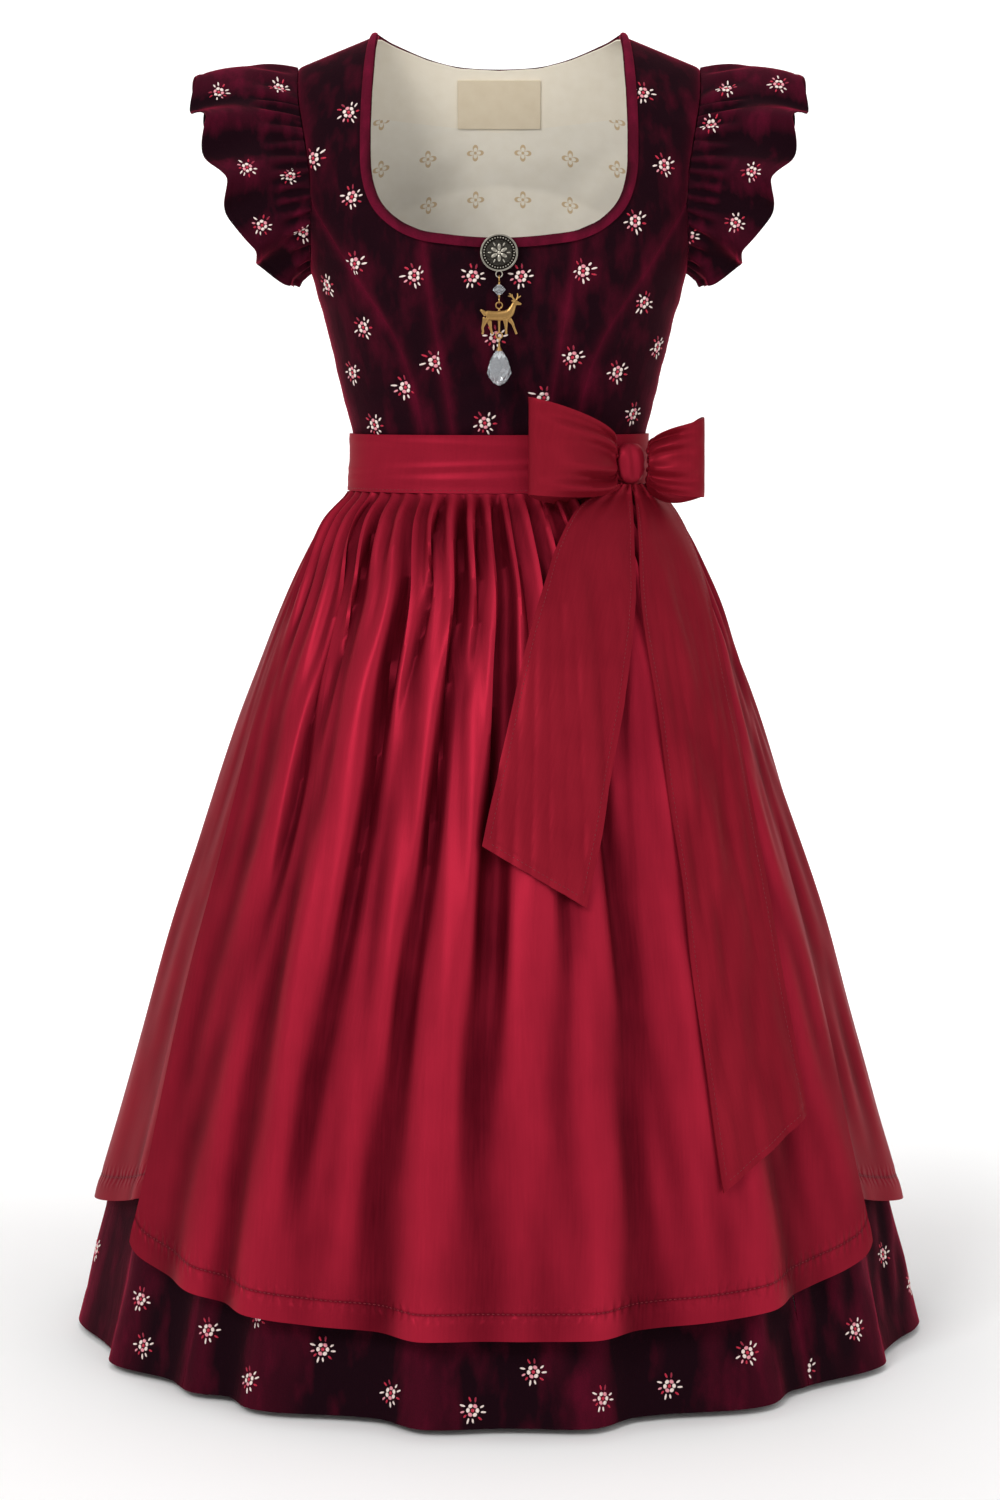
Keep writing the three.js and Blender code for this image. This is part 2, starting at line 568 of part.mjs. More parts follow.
function frontCentreSheet(u, v) {
  const half = along(INNER_SEAM.map((point) => point[0]), v);
  const z = along(INNER_SEAM.map((point) => point[1]), v);
  const x = half * inset(u, 2 * half) * 2 - half;
  const sag = FRONT_NECK_SAG * clamp(1 - (x / half) ** 2, 0, 1) * v ** 8;
  return torsoAt(Math.abs(x) < 1e-6 ? 1e-6 : x, z - sag, 'front');
}

// Neck binding: a ring round the neck edge, u round it and v across its width
function bindingPoints() {
  const other = BINDING.slice(1, -1).reverse().map((row) => ({ ...row, x: -row.x, outX: -row.outX }));
  return [...BINDING, ...other];
}

function bindingSheet(points) {
  const edge = (i, v) => {
    const row = points[((i % points.length) + points.length) % points.length];
    const x = row.x + row.outX * row.width * v;
    const z = row.drop === undefined ? row.z + row.outZ * row.width * v : shoulderZ(x) - row.drop;
    return torsoAt(x === 0 ? 1e-6 : x, z, row.face);
  };
  return (u, v) => {
    const at = u * points.length;
    const i = Math.floor(at);
    return edge(i, v).lerp(edge(i + 1, v), at - i);
  };
}

// Ruffle sleeve
const ruffleSeam = ({ face, place, seamX, seamZ, drop }) => {
  if (place === undefined) return torsoAt(seamX, seamZ ?? shoulderZ(seamX) - drop, face);
  return sidePieceSheet(face === 'front' ? PRINCESS_SEAM : BACK_SEAM, face, 1)(place, 1);
};

function ruffleCurve(pick) {
  return new THREE.CatmullRomCurve3(RUFFLE.map(pick), false, 'centripetal');
}

function ruffleSheet(mirror) {
  const seams = ruffleCurve(ruffleSeam);
  const edges = ruffleCurve(({ x, y, z }) => new THREE.Vector3(x, y, z));
  const middle = new THREE.Vector3(-SHOULDER_HEIGHT, 0, -SHOULDER_HEIGHT);
  return (u, v) => {
    const seam = seams.getPoint(u);
    const edge = edges.getPoint(u);
    const reach = edge.clone().sub(seam);
    const start = seam.clone().addScaledVector(reach.clone().normalize(), RUFFLE_START);
    const swell = reach.length() * 0.1 * Math.sin(Math.PI * v);
    const bow = seam.clone().sub(middle).normalize().multiplyScalar(swell);
    const tangent = edges.getTangent(u);
    const facing = tangent.cross(reach).normalize();
    const ends = Math.min(1, 5 * Math.sin(Math.PI * u));
    const swing = Math.cos(2 * Math.PI * RUFFLE_WAVES * u);
    const wave = RUFFLE_WAVE_HEIGHT * swing * v ** 1.2 * ends;
    const nearSeam = Math.sin(Math.PI * Math.min(v / RUFFLE_GATHER_END, 1));
    const gather = RUFFLE_GATHER_HEIGHT * Math.cos(Math.PI * RUFFLE_COLUMNS * u) * Math.max(0, nearSeam);
    const scallop = RUFFLE_SCALLOP * swing * v * v * ends;
    const point = start.lerp(edge, v).add(bow).addScaledVector(facing, wave + gather);
    point.addScaledVector(reach.normalize(), scallop);
    point.x *= mirror;
    return point;
  };
}

// Skirt layers
const skirtDepthShare = (z) => clamp((SKIRT_TOP_Z - z) / (SKIRT_TOP_Z - VELVET_HEM_Z), 0, 1);

function foldHeight(azimuth, z) {
  let height = 0;
  for (const fold of FOLDS) {
    let away = azimuth - fold.azimuth;
    away -= 360 * Math.round(away / 360);
    const outward = Math.sign(away) === Math.sign(fold.azimuth);
    const reach = outward ? fold.outer : fold.inner;
    if (Math.abs(away) < reach) height += fold.height * 0.5 * (1 + Math.cos((Math.PI * away) / reach));
  }
  return (height - FOLD_MIDDLE) * skirtDepthShare(z) ** FOLD_GROWTH;
}

function skirtPoint(azimuth, z, lift) {
  const a = degToRad(azimuth);
  return new THREE.Vector3(
    (column(SKIRT, 'width', z) + lift) * Math.sin(a),
    -(column(SKIRT, 'depth', z) + lift) * Math.cos(a),
    z,
  );
}

const gatherWave = (z, count, u) => column(GATHER, 'height', z) * Math.cos(2 * Math.PI * count * u);

// How strongly the apron's own folds stand out at a height
const apronFoldStrength = (z) => clamp((-440 - z) / 120, 0, 1) * clamp((z + 1250) / 500, 0.25, 1);

function apronLift(azimuth, z) {
  const [left, right] = [column(EDGES, 'apronLeft', z), column(EDGES, 'apronRight', z)];
  const u = (azimuth + left) / (left + right);
  const slide = clamp((-520 - z) / 480, 0, 1);
  let own = 0;
  for (const fold of APRON_FOLDS) {
    const away = Math.abs(u - lerp(fold.top, fold.bottom, slide)) / fold.reach;
    if (away < 1) own += fold.height * 0.5 * (1 + Math.cos(Math.PI * away));
  }
  return column(SKIRT, 'apronLift', z) + foldHeight(azimuth, z) + own * apronFoldStrength(z);
}

function apronSheet(u, v) {
  const corner = Math.abs(2 * u - 1);
  const hem = APRON_HEM_Z + 28 * corner ** 3 + 9 * corner ** 40;
  const z = lerp(SKIRT_TOP_Z, hem, v);
  const azimuth = lerp(-column(EDGES, 'apronLeft', z), column(EDGES, 'apronRight', z), u);
  return skirtPoint(azimuth, z, apronLift(azimuth, z) + gatherWave(z, APRON_GATHERS, u));
}

// Satin behind the apron: its hem rises towards the open front edges
function satinSheet(from, to, gathers, calmEnd) {
  return (u, v) => {
    const steer = (z, edge) => (typeof edge === 'number' ? edge : edge(z));
    const guess = lerp(SKIRT_TOP_Z, SATIN_HEM_Z, v);
    const away = Math.abs(lerp(steer(guess, from), steer(guess, to), u));
    const hem = SATIN_HEM_Z + 34 * clamp((86 - Math.min(away, 360 - away)) / 27, 0, 1) ** 1.5;
    const z = lerp(SKIRT_TOP_Z, hem, v);
    const azimuth = lerp(steer(z, from), steer(z, to), u);
    const calm = calmEnd === undefined ? 1 : clamp(Math.abs(u - calmEnd) * 3, 0, 1);
    return skirtPoint(azimuth, z, foldHeight(azimuth, z) + calm * gatherWave(z, gathers, u));
  };
}

function velvetSheet(from, to) {
  return (u, v) => {
    const z = lerp(VELVET_TOP_Z, VELVET_HEM_Z, v);
    const azimuth = lerp(from, to, u);
    const lift = foldHeight(azimuth, z) - column(SKIRT, 'velvetInset', z);
    return skirtPoint(azimuth, z, lift + gatherWave(z, VELVET_GATHERS, u));
  };
}

// Azimuth kept back from a seam by half the gap
const seamTurn = (radius) => radToDeg(SEAM_GAP / 2 / radius);

// Waistband
function bandSheet(u, v) {
  const z = lerp(BAND_TOP_Z, BAND_BOTTOM_Z, v);
  const a = 2 * Math.PI * u;
  const x = column(BAND, 'width', z) * signedPower(Math.sin(a), 0.95);
  return new THREE.Vector3(x, -column(BAND, 'depth', z) * signedPower(Math.cos(a), 0.95), z);
}

// Bow
function loopSheet({ fromX, fromY, toX, toY, fromZ, toZ, fromTall, toTall, full }) {
  const length = Math.hypot(toX - fromX, toY - fromY);
  const way = new THREE.Vector3((toX - fromX) / length, (toY - fromY) / length, 0);
  const front = new THREE.Vector3(way.y, -way.x, 0);
  if (front.y > 0) front.negate();
  return (u, v) => {
    const turn = 2 * Math.PI * u;
    const reach = (1 - Math.cos(turn)) / 2;
    const spread = full * Math.sin(turn) * reach ** 0.35 + 2.5 * Math.cos(turn / 2);
    const tall = lerp(fromTall, toTall, reach ** 0.55);
    const fade = (1 - reach) * Math.sqrt(reach) * Math.cos(turn / 2);
    const pleat = LOOP_PLEAT_HEIGHT * Math.cos(5 * Math.PI * v) * fade;
    const point = new THREE.Vector3(fromX, fromY, lerp(fromZ, toZ, reach) + (0.5 - v) * tall);
    return point.addScaledVector(way, length * reach).addScaledVector(front, spread + pleat);
  };
}

function tailSheet(rows) {
  const pick = (name, v) => along(rows.map((row) => row[name]), v);
  return (u, v) => {
    const x = lerp(pick('leftX', v), pick('rightX', v), u);
    const z = lerp(pick('leftZ', v), pick('rightZ', v), u);
    let azimuth = radToDeg(Math.asin(clamp(x / (column(SKIRT, 'width', z) + 20), -1, 1)));
    azimuth = clamp(azimuth, -80, 80);
    let crest = 0;
    for (const turn of [-9, -6, -3, 0, 3, 6, 9]) crest = Math.max(crest, apronLift(azimuth + turn, z));
    const nearKnot = Math.exp((z + 404) / 45);
    const pleat = TAIL_PLEAT_HEIGHT * (1 - Math.cos(5 * Math.PI * u)) * 0.5 * nearKnot;
    const rise = TAIL_START_LIFT * Math.exp((z - SHORT_TAIL[0].leftZ) / 25);
    const lift = crest + TAIL_CLEARANCE + SATIN_WALL + rise + pleat;
    const width = column(SKIRT, 'width', z) + lift;
    const depth = column(SKIRT, 'depth', z) + lift;
    return new THREE.Vector3(x, -depth * Math.sqrt(Math.max(0.02, 1 - (x / width) ** 2)), z);
  };
}

function knotGeometry() {
  const a = degToRad(KNOT.azimuth);
  const u = KNOT.azimuth / 360;
  const v = (BAND_TOP_Z - KNOT.z) / (BAND_TOP_Z - BAND_BOTTOM_Z);
  const seat = bandSheet(u, v);
  const normal = sheetNormal(bandSheet, u, v, true);
  if (normal.y > 0) normal.negate();
  const profile = steps(8).map((t) => {
    const turn = Math.PI * (t - 0.5);
    return new THREE.Vector2(Math.max(signedPower(Math.cos(turn), 0.7), 0), signedPower(Math.sin(turn), 0.7));
  });
  const geometry = new THREE.LatheGeometry(profile, 20);
  geometry.rotateX(Math.PI / 2);
  geometry.scale(KNOT.across, KNOT.thick, KNOT.tall);
  geometry.rotateZ(Math.atan2(normal.x, -normal.y));
  const centre = seat.addScaledVector(normal, KNOT.thick + KNOT.seat);
  geometry.translate(centre.x, centre.y, KNOT.z);
  return mergedClosed(geometry);
}

// A three.js shape with its doubled seam points merged
function mergedClosed(geometry) {
  const bare = geometry.clone();
  bare.deleteAttribute('normal');
  bare.deleteAttribute('uv');
  const merged = mergeVertices(bare, 1e-3);
  const list = merged.index.array;
  const faces = [];
  for (let i = 0; i < list.length; i += 3) {
    const [a, b, c] = [list[i], list[i + 1], list[i + 2]];
    if (a !== b && b !== c && c !== a) faces.push([a, b, c]);
  }
  const points = [];
  for (let i = 0; i < merged.attributes.position.count; i += 1) {
    points.push(new THREE.Vector3().fromBufferAttribute(merged.attributes.position, i));
  }
  return closedGeometry(points, faces);
}

// Pendant pieces
function ringGeometry(z, edgeOn) {
  const geometry = new THREE.TorusGeometry(RING.radius, RING.wire, 5, 10);
  if (edgeOn) geometry.rotateY(Math.PI / 2);
  else geometry.rotateX(Math.PI / 2);
  geometry.translate(0, PENDANT_Y, z);
  return geometry;
}

function lathe(profile, sides) {
  return new THREE.LatheGeometry(profile.map(([radius, height]) => new THREE.Vector2(radius, height)), sides);
}

function coinGeometry() {
  const { radius, thick, rim, relief, pinRadius, z } = COIN;
  const back = PENDANT_Y + thick / 2;
  const front = PENDANT_Y - thick / 2;
  const pinEnd = torsoAt(1e-6, z, 'front').y - COIN_SEAT;
  const coin = lathe([
    [0, front + relief], [radius - rim, front + relief], [radius - rim, front], [radius, front],
    [radius, back], [pinRadius, back], [pinRadius, pinEnd], [0, pinEnd],
  ], 28);
  coin.translate(0, 0, z);
  return coin;
}

function charmOutline() {
  const shape = new THREE.Shape();
  STAG.forEach(([x, z], i) => (i ? shape.lineTo(x, z) : shape.moveTo(x, z)));
  shape.closePath();
  return shape;
}

function pendantParts() {
  const coin = joined([coinGeometry(), ringGeometry(COIN_RING_Z, false)]);
  const bead = lathe([
    [0, BEAD_LOW_EYE_Z + SHANK_REACH], [BEAD.wire, BEAD_LOW_EYE_Z + SHANK_REACH],
    [BEAD.wire, BEAD.z - BEAD.height / 2 + 1], [BEAD.radius, BEAD.z],
    [BEAD.wire, BEAD.z + BEAD.height / 2 - 1],
    [BEAD.wire, BEAD_TOP_EYE_Z - SHANK_REACH], [0, BEAD_TOP_EYE_Z - SHANK_REACH],
  ], 10);
  bead.rotateX(Math.PI / 2);
  bead.translate(0, PENDANT_Y, 0);
  const link = joined([bead, ringGeometry(BEAD_TOP_EYE_Z, true), ringGeometry(BEAD_LOW_EYE_Z, true)]);
  const stag = new THREE.ExtrudeGeometry(charmOutline(), { depth: CHARM.thick, bevelEnabled: false });
  stag.rotateX(Math.PI / 2);
  stag.translate(0, PENDANT_Y + CHARM.thick / 2, CHARM.bottom);
  const charm = joined([stag, ringGeometry(CHARM_TOP_RING_Z, false), ringGeometry(CHARM_LOW_RING_Z, false)]);
  const glass = lathe([
    [0, DROP.bottom], [DROP.radius * 0.55, DROP.bottom + 3], [DROP.radius, DROP.shoulder - 4],
    [DROP.radius * 0.9, DROP.shoulder], [DROP.neck, DROP.top], [DROP.neck, DROP_EYE_Z - SHANK_REACH],
    [0, DROP_EYE_Z - SHANK_REACH],
  ], DROP.sides);
  glass.rotateX(Math.PI / 2);
  glass.translate(0, PENDANT_Y, 0);
  const drop = joined([glass, ringGeometry(DROP_EYE_Z, true)]);
  return { coin, link, charm, drop };
}

// The whole garment
const dirndl = new THREE.Group();

function add(name, geometry, finish) {
  const material = new THREE.MeshStandardMaterial({ ...FINISHES[finish], name: finish });
  const mesh = new THREE.Mesh(geometry, material);
  mesh.name = name;
  dirndl.add(mesh);
}

// The outer face of every wall is the one away from this point of the body's axis
function outerSide(sheet) {
  const point = sheet(0.5, 0.5);
  const normal = sheetNormal(sheet, 0.5, 0.5, false);
  return normal.x * point.x + normal.y * point.y > 0 ? 1 : -1;
}

function addWall(name, finish, options) {
  const side = options.side ?? outerSide(options.sheet);
  add(name, wall({ ...options, side }), finish);
}

function addBodice() {
  const half = FRONT_NECK_X[FRONT_NECK_X.length - 1];
  addWall('bodice_front_center', 'velvet', {
    sheet: frontCentreSheet,
    us: FRONT_NECK_X.map((x) => (x + half) / (2 * half)),
    vs: steps(INNER_SEAM.length - 1),
    thickness: BODICE_WALL,
  });
  const front = frontStrapRows();
  const back = backRows();
  for (const [hand, mirror] of [['left', -1], ['right', 1]]) {
    const pieces = [
      ['bodice_front', rowSheet(front, 'front', mirror), steps(5), steps(front.length - 1)],
      [
        'bodice_side_front', sidePieceSheet(PRINCESS_SEAM, 'front', mirror), steps(5),
        seamSteps(PRINCESS_SEAM),
      ],
      ['bodice_side_back', sidePieceSheet(BACK_SEAM, 'back', mirror), steps(5), seamSteps(BACK_SEAM)],
      ['bodice_back', rowSheet(back, 'back', mirror), BACK_COLUMNS, steps(back.length - 1)],
    ];
    for (const [name, sheet, us, vs] of pieces) {
      addWall(`${name}_${hand}`, 'velvet', { sheet, us, vs, thickness: BODICE_WALL });
    }
  }
}

function addLinings() {
  const rows = backRows();
  const facingFrom = rows.length - FACING_ROWS;
  const leftHalf = BACK_COLUMNS.slice(1).reverse().map((u) => (1 - u) / 2);
  const across = [...leftHalf, ...BACK_COLUMNS.map((u) => (1 + u) / 2)];
  const lift = -(BODICE_WALL + LAY_GAP);
  const lining = rows.slice(0, facingFrom + 1);
  const facing = rows.slice(facingFrom);
  const trim = (us) => [0.004, ...us.slice(1, -1), 0.996];
  addWall('lining_back', 'lining', {
    sheet: bothHalvesSheet(lining), us: trim(across), vs: steps(lining.length - 1),
    thickness: LINING_WALL, lift,
  });
  const low = SEAM_GAP / 40;
  addWall('facing_back', 'facing', {
    sheet: bothHalvesSheet(facing),
    us: trim(across),
    vs: steps(facing.length - 1).map((v) => lerp(low, 1, v)),
    thickness: LINING_WALL,
    lift,
  });
  addWall('neck_label', 'label', {
    sheet: (u, v) => torsoAt(
      lerp(-LABEL.width / 2, LABEL.width / 2, u) || 1e-6, lerp(LABEL.bottom, LABEL.top, v), 'back',
    ),
    us: steps(6),
    vs: steps(3),
    thickness: LINING_WALL,
    lift: lift - LINING_WALL - LAY_GAP,
  });
}

function addTrims() {
  const points = bindingPoints();
  addWall('neck_binding', 'satin', {
    sheet: bindingSheet(points),
    us: points.map((_, i) => i / points.length),
    vs: [0, 1],
    thickness: TRIM_WALL,
    lift: LAY_GAP + TRIM_WALL,
    ring: true,
  });
  addWall('waistband', 'satin', {
    sheet: bandSheet,
    us: steps(BAND_COLUMNS).slice(0, -1),
    vs: BAND_ROWS,
    thickness: BAND_WALL,
    ring: true,
  });
}

function addSleeves() {
  for (const [hand, mirror] of [['left', -1], ['right', 1]]) {
    addWall(`sleeve_ruffle_${hand}`, 'velvet', {
      sheet: ruffleSheet(mirror), us: steps(RUFFLE_COLUMNS), vs: RUFFLE_ROWS, thickness: VELVET_WALL,
    });
  }
}

function addSkirts() {
  const turn = seamTurn(140);
  for (const [name, middle] of [['front', 0], ['right', 90], ['back', 180], ['left', -90]]) {
    addWall(`velvet_skirt_${name}`, 'velvet', {
      sheet: velvetSheet(middle - VELVET_SPLIT + turn, middle + VELVET_SPLIT - turn),
      us: steps(2 * VELVET_GATHERS),
      vs: VELVET_ROWS,
      thickness: VELVET_WALL,
    });
  }
  const rightEdge = (z) => column(EDGES, 'satinRight', z);
  const leftEdge = (z) => -column(EDGES, 'satinLeft', z);
  const satin = [
    [
      'satin_side_right', satinSheet(rightEdge, SATIN_SPLIT - turn, SATIN_SIDE_GATHERS, 0),
      SATIN_SIDE_GATHERS,
    ],
    [
      'satin_back', satinSheet(SATIN_SPLIT + turn, 360 - SATIN_SPLIT - turn, SATIN_BACK_GATHERS),
      SATIN_BACK_GATHERS,
    ],
    ['satin_side_left', satinSheet(-SATIN_SPLIT + turn, leftEdge, SATIN_SIDE_GATHERS, 1), SATIN_SIDE_GATHERS],
  ];
  for (const [name, sheet, gathers] of satin) {
    addWall(name, 'satin', { sheet, us: steps(2 * gathers), vs: SKIRT_ROWS, thickness: SATIN_WALL });
  }
  addWall('apron', 'satin', {
    sheet: apronSheet, us: steps(2 * APRON_GATHERS), vs: SKIRT_ROWS, thickness: SATIN_WALL,
  });
}

function addBow() {
  add('bow_knot', knotGeometry(), 'satin');
  for (const [hand, loop] of Object.entries(LOOPS)) {
    addWall(`bow_loop_${hand}`, 'satin', {
      sheet: loopSheet(loop), us: steps(LOOP_STEPS), vs: LOOP_ROWS, thickness: SATIN_WALL,
    });
  }
  for (const [name, rows] of [['bow_tail_short', SHORT_TAIL], ['bow_tail_long', LONG_TAIL]]) {
    addWall(name, 'satin', {
      sheet: tailSheet(rows), us: TAIL_COLUMNS, vs: steps(2 * (rows.length - 1)), thickness: SATIN_WALL,
    });
  }
}

function addPendant() {
  const parts = pendantParts();
  add('pendant_coin', parts.coin, 'silver');
  add('pendant_bead', parts.link, 'crystal');
  add('pendant_stag', parts.charm, 'gold');
  add('pendant_drop', parts.drop, 'crystal');
}

addBodice();
addLinings();
addTrims();
addSleeves();
addSkirts();
addBow();
addPendant();

export default dirndl;
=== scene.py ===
"""Dirndl dressed over its solids: velvet bodice and skirt, satin apron and bow, ruffle sleeves and a pendant.

Lengths in the tables are millimetres in the part's own frame: the front faces -Y, +X is the viewer's right,
and the origin lies midway between the shoulders. Meshes are made in metres.
"""

import logging
import math
from collections.abc import Callable
from dataclasses import dataclass, field
from enum import Enum

import bmesh
import bpy
import numpy as np
from mathutils import Matrix, Vector


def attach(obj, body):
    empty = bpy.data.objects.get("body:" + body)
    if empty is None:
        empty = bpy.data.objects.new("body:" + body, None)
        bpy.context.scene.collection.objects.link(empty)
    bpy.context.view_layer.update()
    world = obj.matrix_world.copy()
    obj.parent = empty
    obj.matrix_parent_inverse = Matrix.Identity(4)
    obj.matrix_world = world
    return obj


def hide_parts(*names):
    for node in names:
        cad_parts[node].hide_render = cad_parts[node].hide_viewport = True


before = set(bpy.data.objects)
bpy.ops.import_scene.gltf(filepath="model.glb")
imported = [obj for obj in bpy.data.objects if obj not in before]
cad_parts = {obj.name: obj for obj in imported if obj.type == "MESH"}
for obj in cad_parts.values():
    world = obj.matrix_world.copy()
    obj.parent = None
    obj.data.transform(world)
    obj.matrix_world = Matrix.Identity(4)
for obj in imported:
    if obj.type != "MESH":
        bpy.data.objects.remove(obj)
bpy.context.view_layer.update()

MM = 0.001
Array = np.ndarray
Sheet = Callable[[Array, Array], Array]
log = logging.getLogger("dirndl")


class Face(Enum):
    """Which half of the torso a panel lies on."""

    FRONT = 1
    BACK = -1


class Hand(Enum):
    """A side of the garment as the viewer sees it; the value mirrors x."""

    LEFT = -1
    RIGHT = 1


class Held(Enum):
    """How a cloth piece hangs, in the frame's own words."""

    HUNG = "hung"
    GATHERED = "gathered"
    FOLDED = "folded"
    STRETCHED = "stretched"


# Cloth thicknesses and the spaces between layers
BODICE_WALL = 2.0
VELVET_WALL = 1.5
SATIN_WALL = 1.2
TRIM_WALL = 1.2
LINING_WALL = 1.0
BAND_WALL = 2.6
LAY_GAP = 0.6
HEM = 22.0
PANEL_TURN = 0.08

# Heights
BAND_TOP_Z = -358.0
KNOT_AZIMUTH, KNOT_X, KNOT_Z = 52.0, 112.0, -384.0
BAND_BOTTOM_Z = -411.0
SKIRT_TOP_Z = -411.4
VELVET_TOP_Z = -385.5
VELVET_HEM_Z = -1184.0
APRON_HEM_Z = -1108.0
SATIN_HEM_Z = -1071.0


class Stations:
    """Measured sections from top to bottom, read by a smooth curve between them."""

    def __init__(self, names: str, rows: list[tuple[float, ...]]) -> None:
        """Keeps a column of numbers for each name; one of them is the height z.

        Args:
            names: the column names, with spaces between them.
            rows: the sections, from the highest to the lowest.
        """
        self.columns = dict(zip(names.split(), np.array(rows, dtype=float).T))

    def at(self, name: str, z: Array) -> Array:
        """Value of a column at heights z.

        Args:
            name: the column.
            z: heights in millimetres.

        Returns:
            The smoothly interpolated values.
        """
        heights, values = self.columns["z"], self.columns[name]
        last = len(heights) - 2
        z = np.asarray(z, dtype=float)
        i = np.minimum(np.searchsorted(-heights[1:], -z, side="left"), last)
        span = heights[i + 1] - heights[i]
        s = np.clip((z - heights[i]) / span, 0, 1)
        before, after = np.maximum(i - 1, 0), np.minimum(i + 2, last + 1)
        start = (values[i + 1] - values[before]) / (heights[i + 1] - heights[before])
        end = (values[after] - values[i]) / (heights[after] - heights[i])
        rise = (values[i + 1] - values[i]) * s * s * (3 - 2 * s)
        return values[i] + rise + span * s * (1 - s) * ((1 - s) * start - s * end)


TORSO = Stations("z width front back corner", [
    (62, 215, 103, 92, 0.62), (15, 215, 103, 92, 0.62), (-60, 210, 103, 92, 0.62),
    (-110, 204, 103, 95, 0.62),
    (-150, 193, 103, 97, 0.66), (-185, 181, 105, 98, 0.74), (-215, 174, 106, 97, 0.8),
    (-250, 164, 103, 94, 0.84), (-300, 152, 96, 90, 0.88), (-345, 141, 91, 88, 0.93), (-360, 137, 90, 88, 0.95),
    (-375, 135.2, 90, 88, 0.95), (-390, 136, 91, 89, 0.95), (-412, 138, 93, 92, 0.95),
])
NECK_X, NECK_Z = 113.0, 15.0
SHOULDER_SLOPE = 0.413
SHOULDER_HEIGHT = 165.0
SHOULDER_ROUND = 0.42
SHOULDER_SEAM_HALF = 0.5
LEVEL_WIDTH = 80.0
BUST_X, BUST_Z, BUST_SPREAD, BUST_HEIGHT = 83.0, -218.0, 52.0, 11.0

# Seams from the waist up, as half width and height
INNER_SEAM = [(39, -385), (42.2, -357), (49.6, -313), (57, -269), (64.5, -225), (71, -172.5)]
PRINCESS_SEAM = [
    (66, -385), (70.4, -357), (79, -313), (95.5, -269), (123, -226), (140, -200), (157, -173), (172, -146),
]
SIDE_SEAM_Z = [-385, -357, -313, -280, -255, -238, -224, -213]
BACK_SEAM = [
    (60, -385), (61.8, -357), (66, -313), (76, -269), (98, -226), (125, -190), (152, -160), (176, -140),
]
CENTRE_BACK_Z = [-385, -357, -313, -269, -226, -190, -155, -122]

# Strap rows as neck x, neck z, armhole x, armhole z; a height of None lies `drop` below the shoulder line
FRONT_STRAP = [
    (92, -162, 157, -173, 0), (108, -145, 172, -146, 0), (116, -120, 174, -118, 0), (117.5, -85, 178, -92, 0),
    (117, -52, 182, -70, 0), (115.5, None, 185.5, None, 35), (114.5, None, 186.8, None, 16),
    (113.6, None, 187.2, None, 6), (113.2, None, 187.4, None, 1.5), (113, None, 187.5, None, 0),
]
BACK_STRAP = [
    (-95, 180, -95, None), (-69, 184, -50, None), (None, 186.8, None, 16), (None, 187.2, None, 6),
    (None, 187.4, None, 1.5), (None, 187.5, None, 0),
]
FACING_ROWS = 5
BACK_NECK_X = [0, 39, 68, 97, 113]
BACK_NECK_Z = [-11.4, -9.4, -2.6, 8, 15]
FRONT_NECK_SAG = 7.0
ARMHOLE_SAG = 9.0

# Neck binding from the front's middle to the back's: face, edge x, z, drop, the way it lies, and its width
BINDING = [
    ("F", 0, -179.5, None, 0, -1, 9), ("F", 24, -178.7, None, 0, -1, 9), ("F", 46, -176.6, None, 0.1, -1, 9),
    ("F", 71, -172.5, None, 0.3, -0.95, 9), ("F", 92, -162, None, 0.5, -0.86, 9),
    ("F", 108, -145, None, 0.8, -0.6, 9), ("F", 116, -120, None, 0.97, -0.2, 9),
    ("F", 117.5, -85, None, 1, 0, 9), ("F", 117, -52, None, 1, 0, 9), ("F", 115.5, None, 35, 1, 0, 9),
    ("F", 114.5, None, 16, 1, 0, 8), ("F", 113.6, None, 6, 1, 0, 7), ("F", 113.2, None, 1.5, 1, 0, 6),
    ("F", 113, None, 0, 1, 0, 5.5), ("B", 112, 14.5, None, 0.8, -0.55, 5), ("B", 106, 11.9, None, 0.7, -0.7, 4.5),
    ("B", 97, 8, None, 0.5, -0.86, 4), ("B", 68, -2.6, None, 0.25, -0.97, 3.5),
    ("B", 39, -9.4, None, 0.1, -1, 3.5), ("B", 0, -11.4, None, 0, -1, 3.5),
]

# Ruffle rows from underarm to underarm: face, place on a side piece, seam x, z, drop, free edge x, y, z
RUFFLE = [
    ("F", 0.86, 0, None, 0, 188, -6, -221), ("F", 0.6, 0, None, 0, 204, -30, -214),
    ("F", 0.24, 0, None, 0, 222, -58, -198), ("F", None, 172, -146, 0, 238, -82, -166),
    ("F", None, 174, -118, 0, 250, -90, -134), ("F", None, 178, -92, 0, 262, -85, -101),
    ("F", None, 182, -70, 0, 273, -71, -71), ("F", None, 185.5, None, 35, 281, -46, -47),
    ("F", None, 187.5, None, 0, 285, 0, -30), ("B", None, 186.8, None, 16, 281, 36, -40),
    ("B", None, 184, -50, 0, 275, 58, -64), ("B", None, 180, -95, 0, 261, 74, -102),
    ("B", None, 176, -140, 0, 243, 74, -148), ("B", 0.24, 0, None, 0, 222, 52, -194),
    ("B", 0.6, 0, None, 0, 204, 28, -213), ("B", 0.86, 0, None, 0, 188, 6, -221),
]

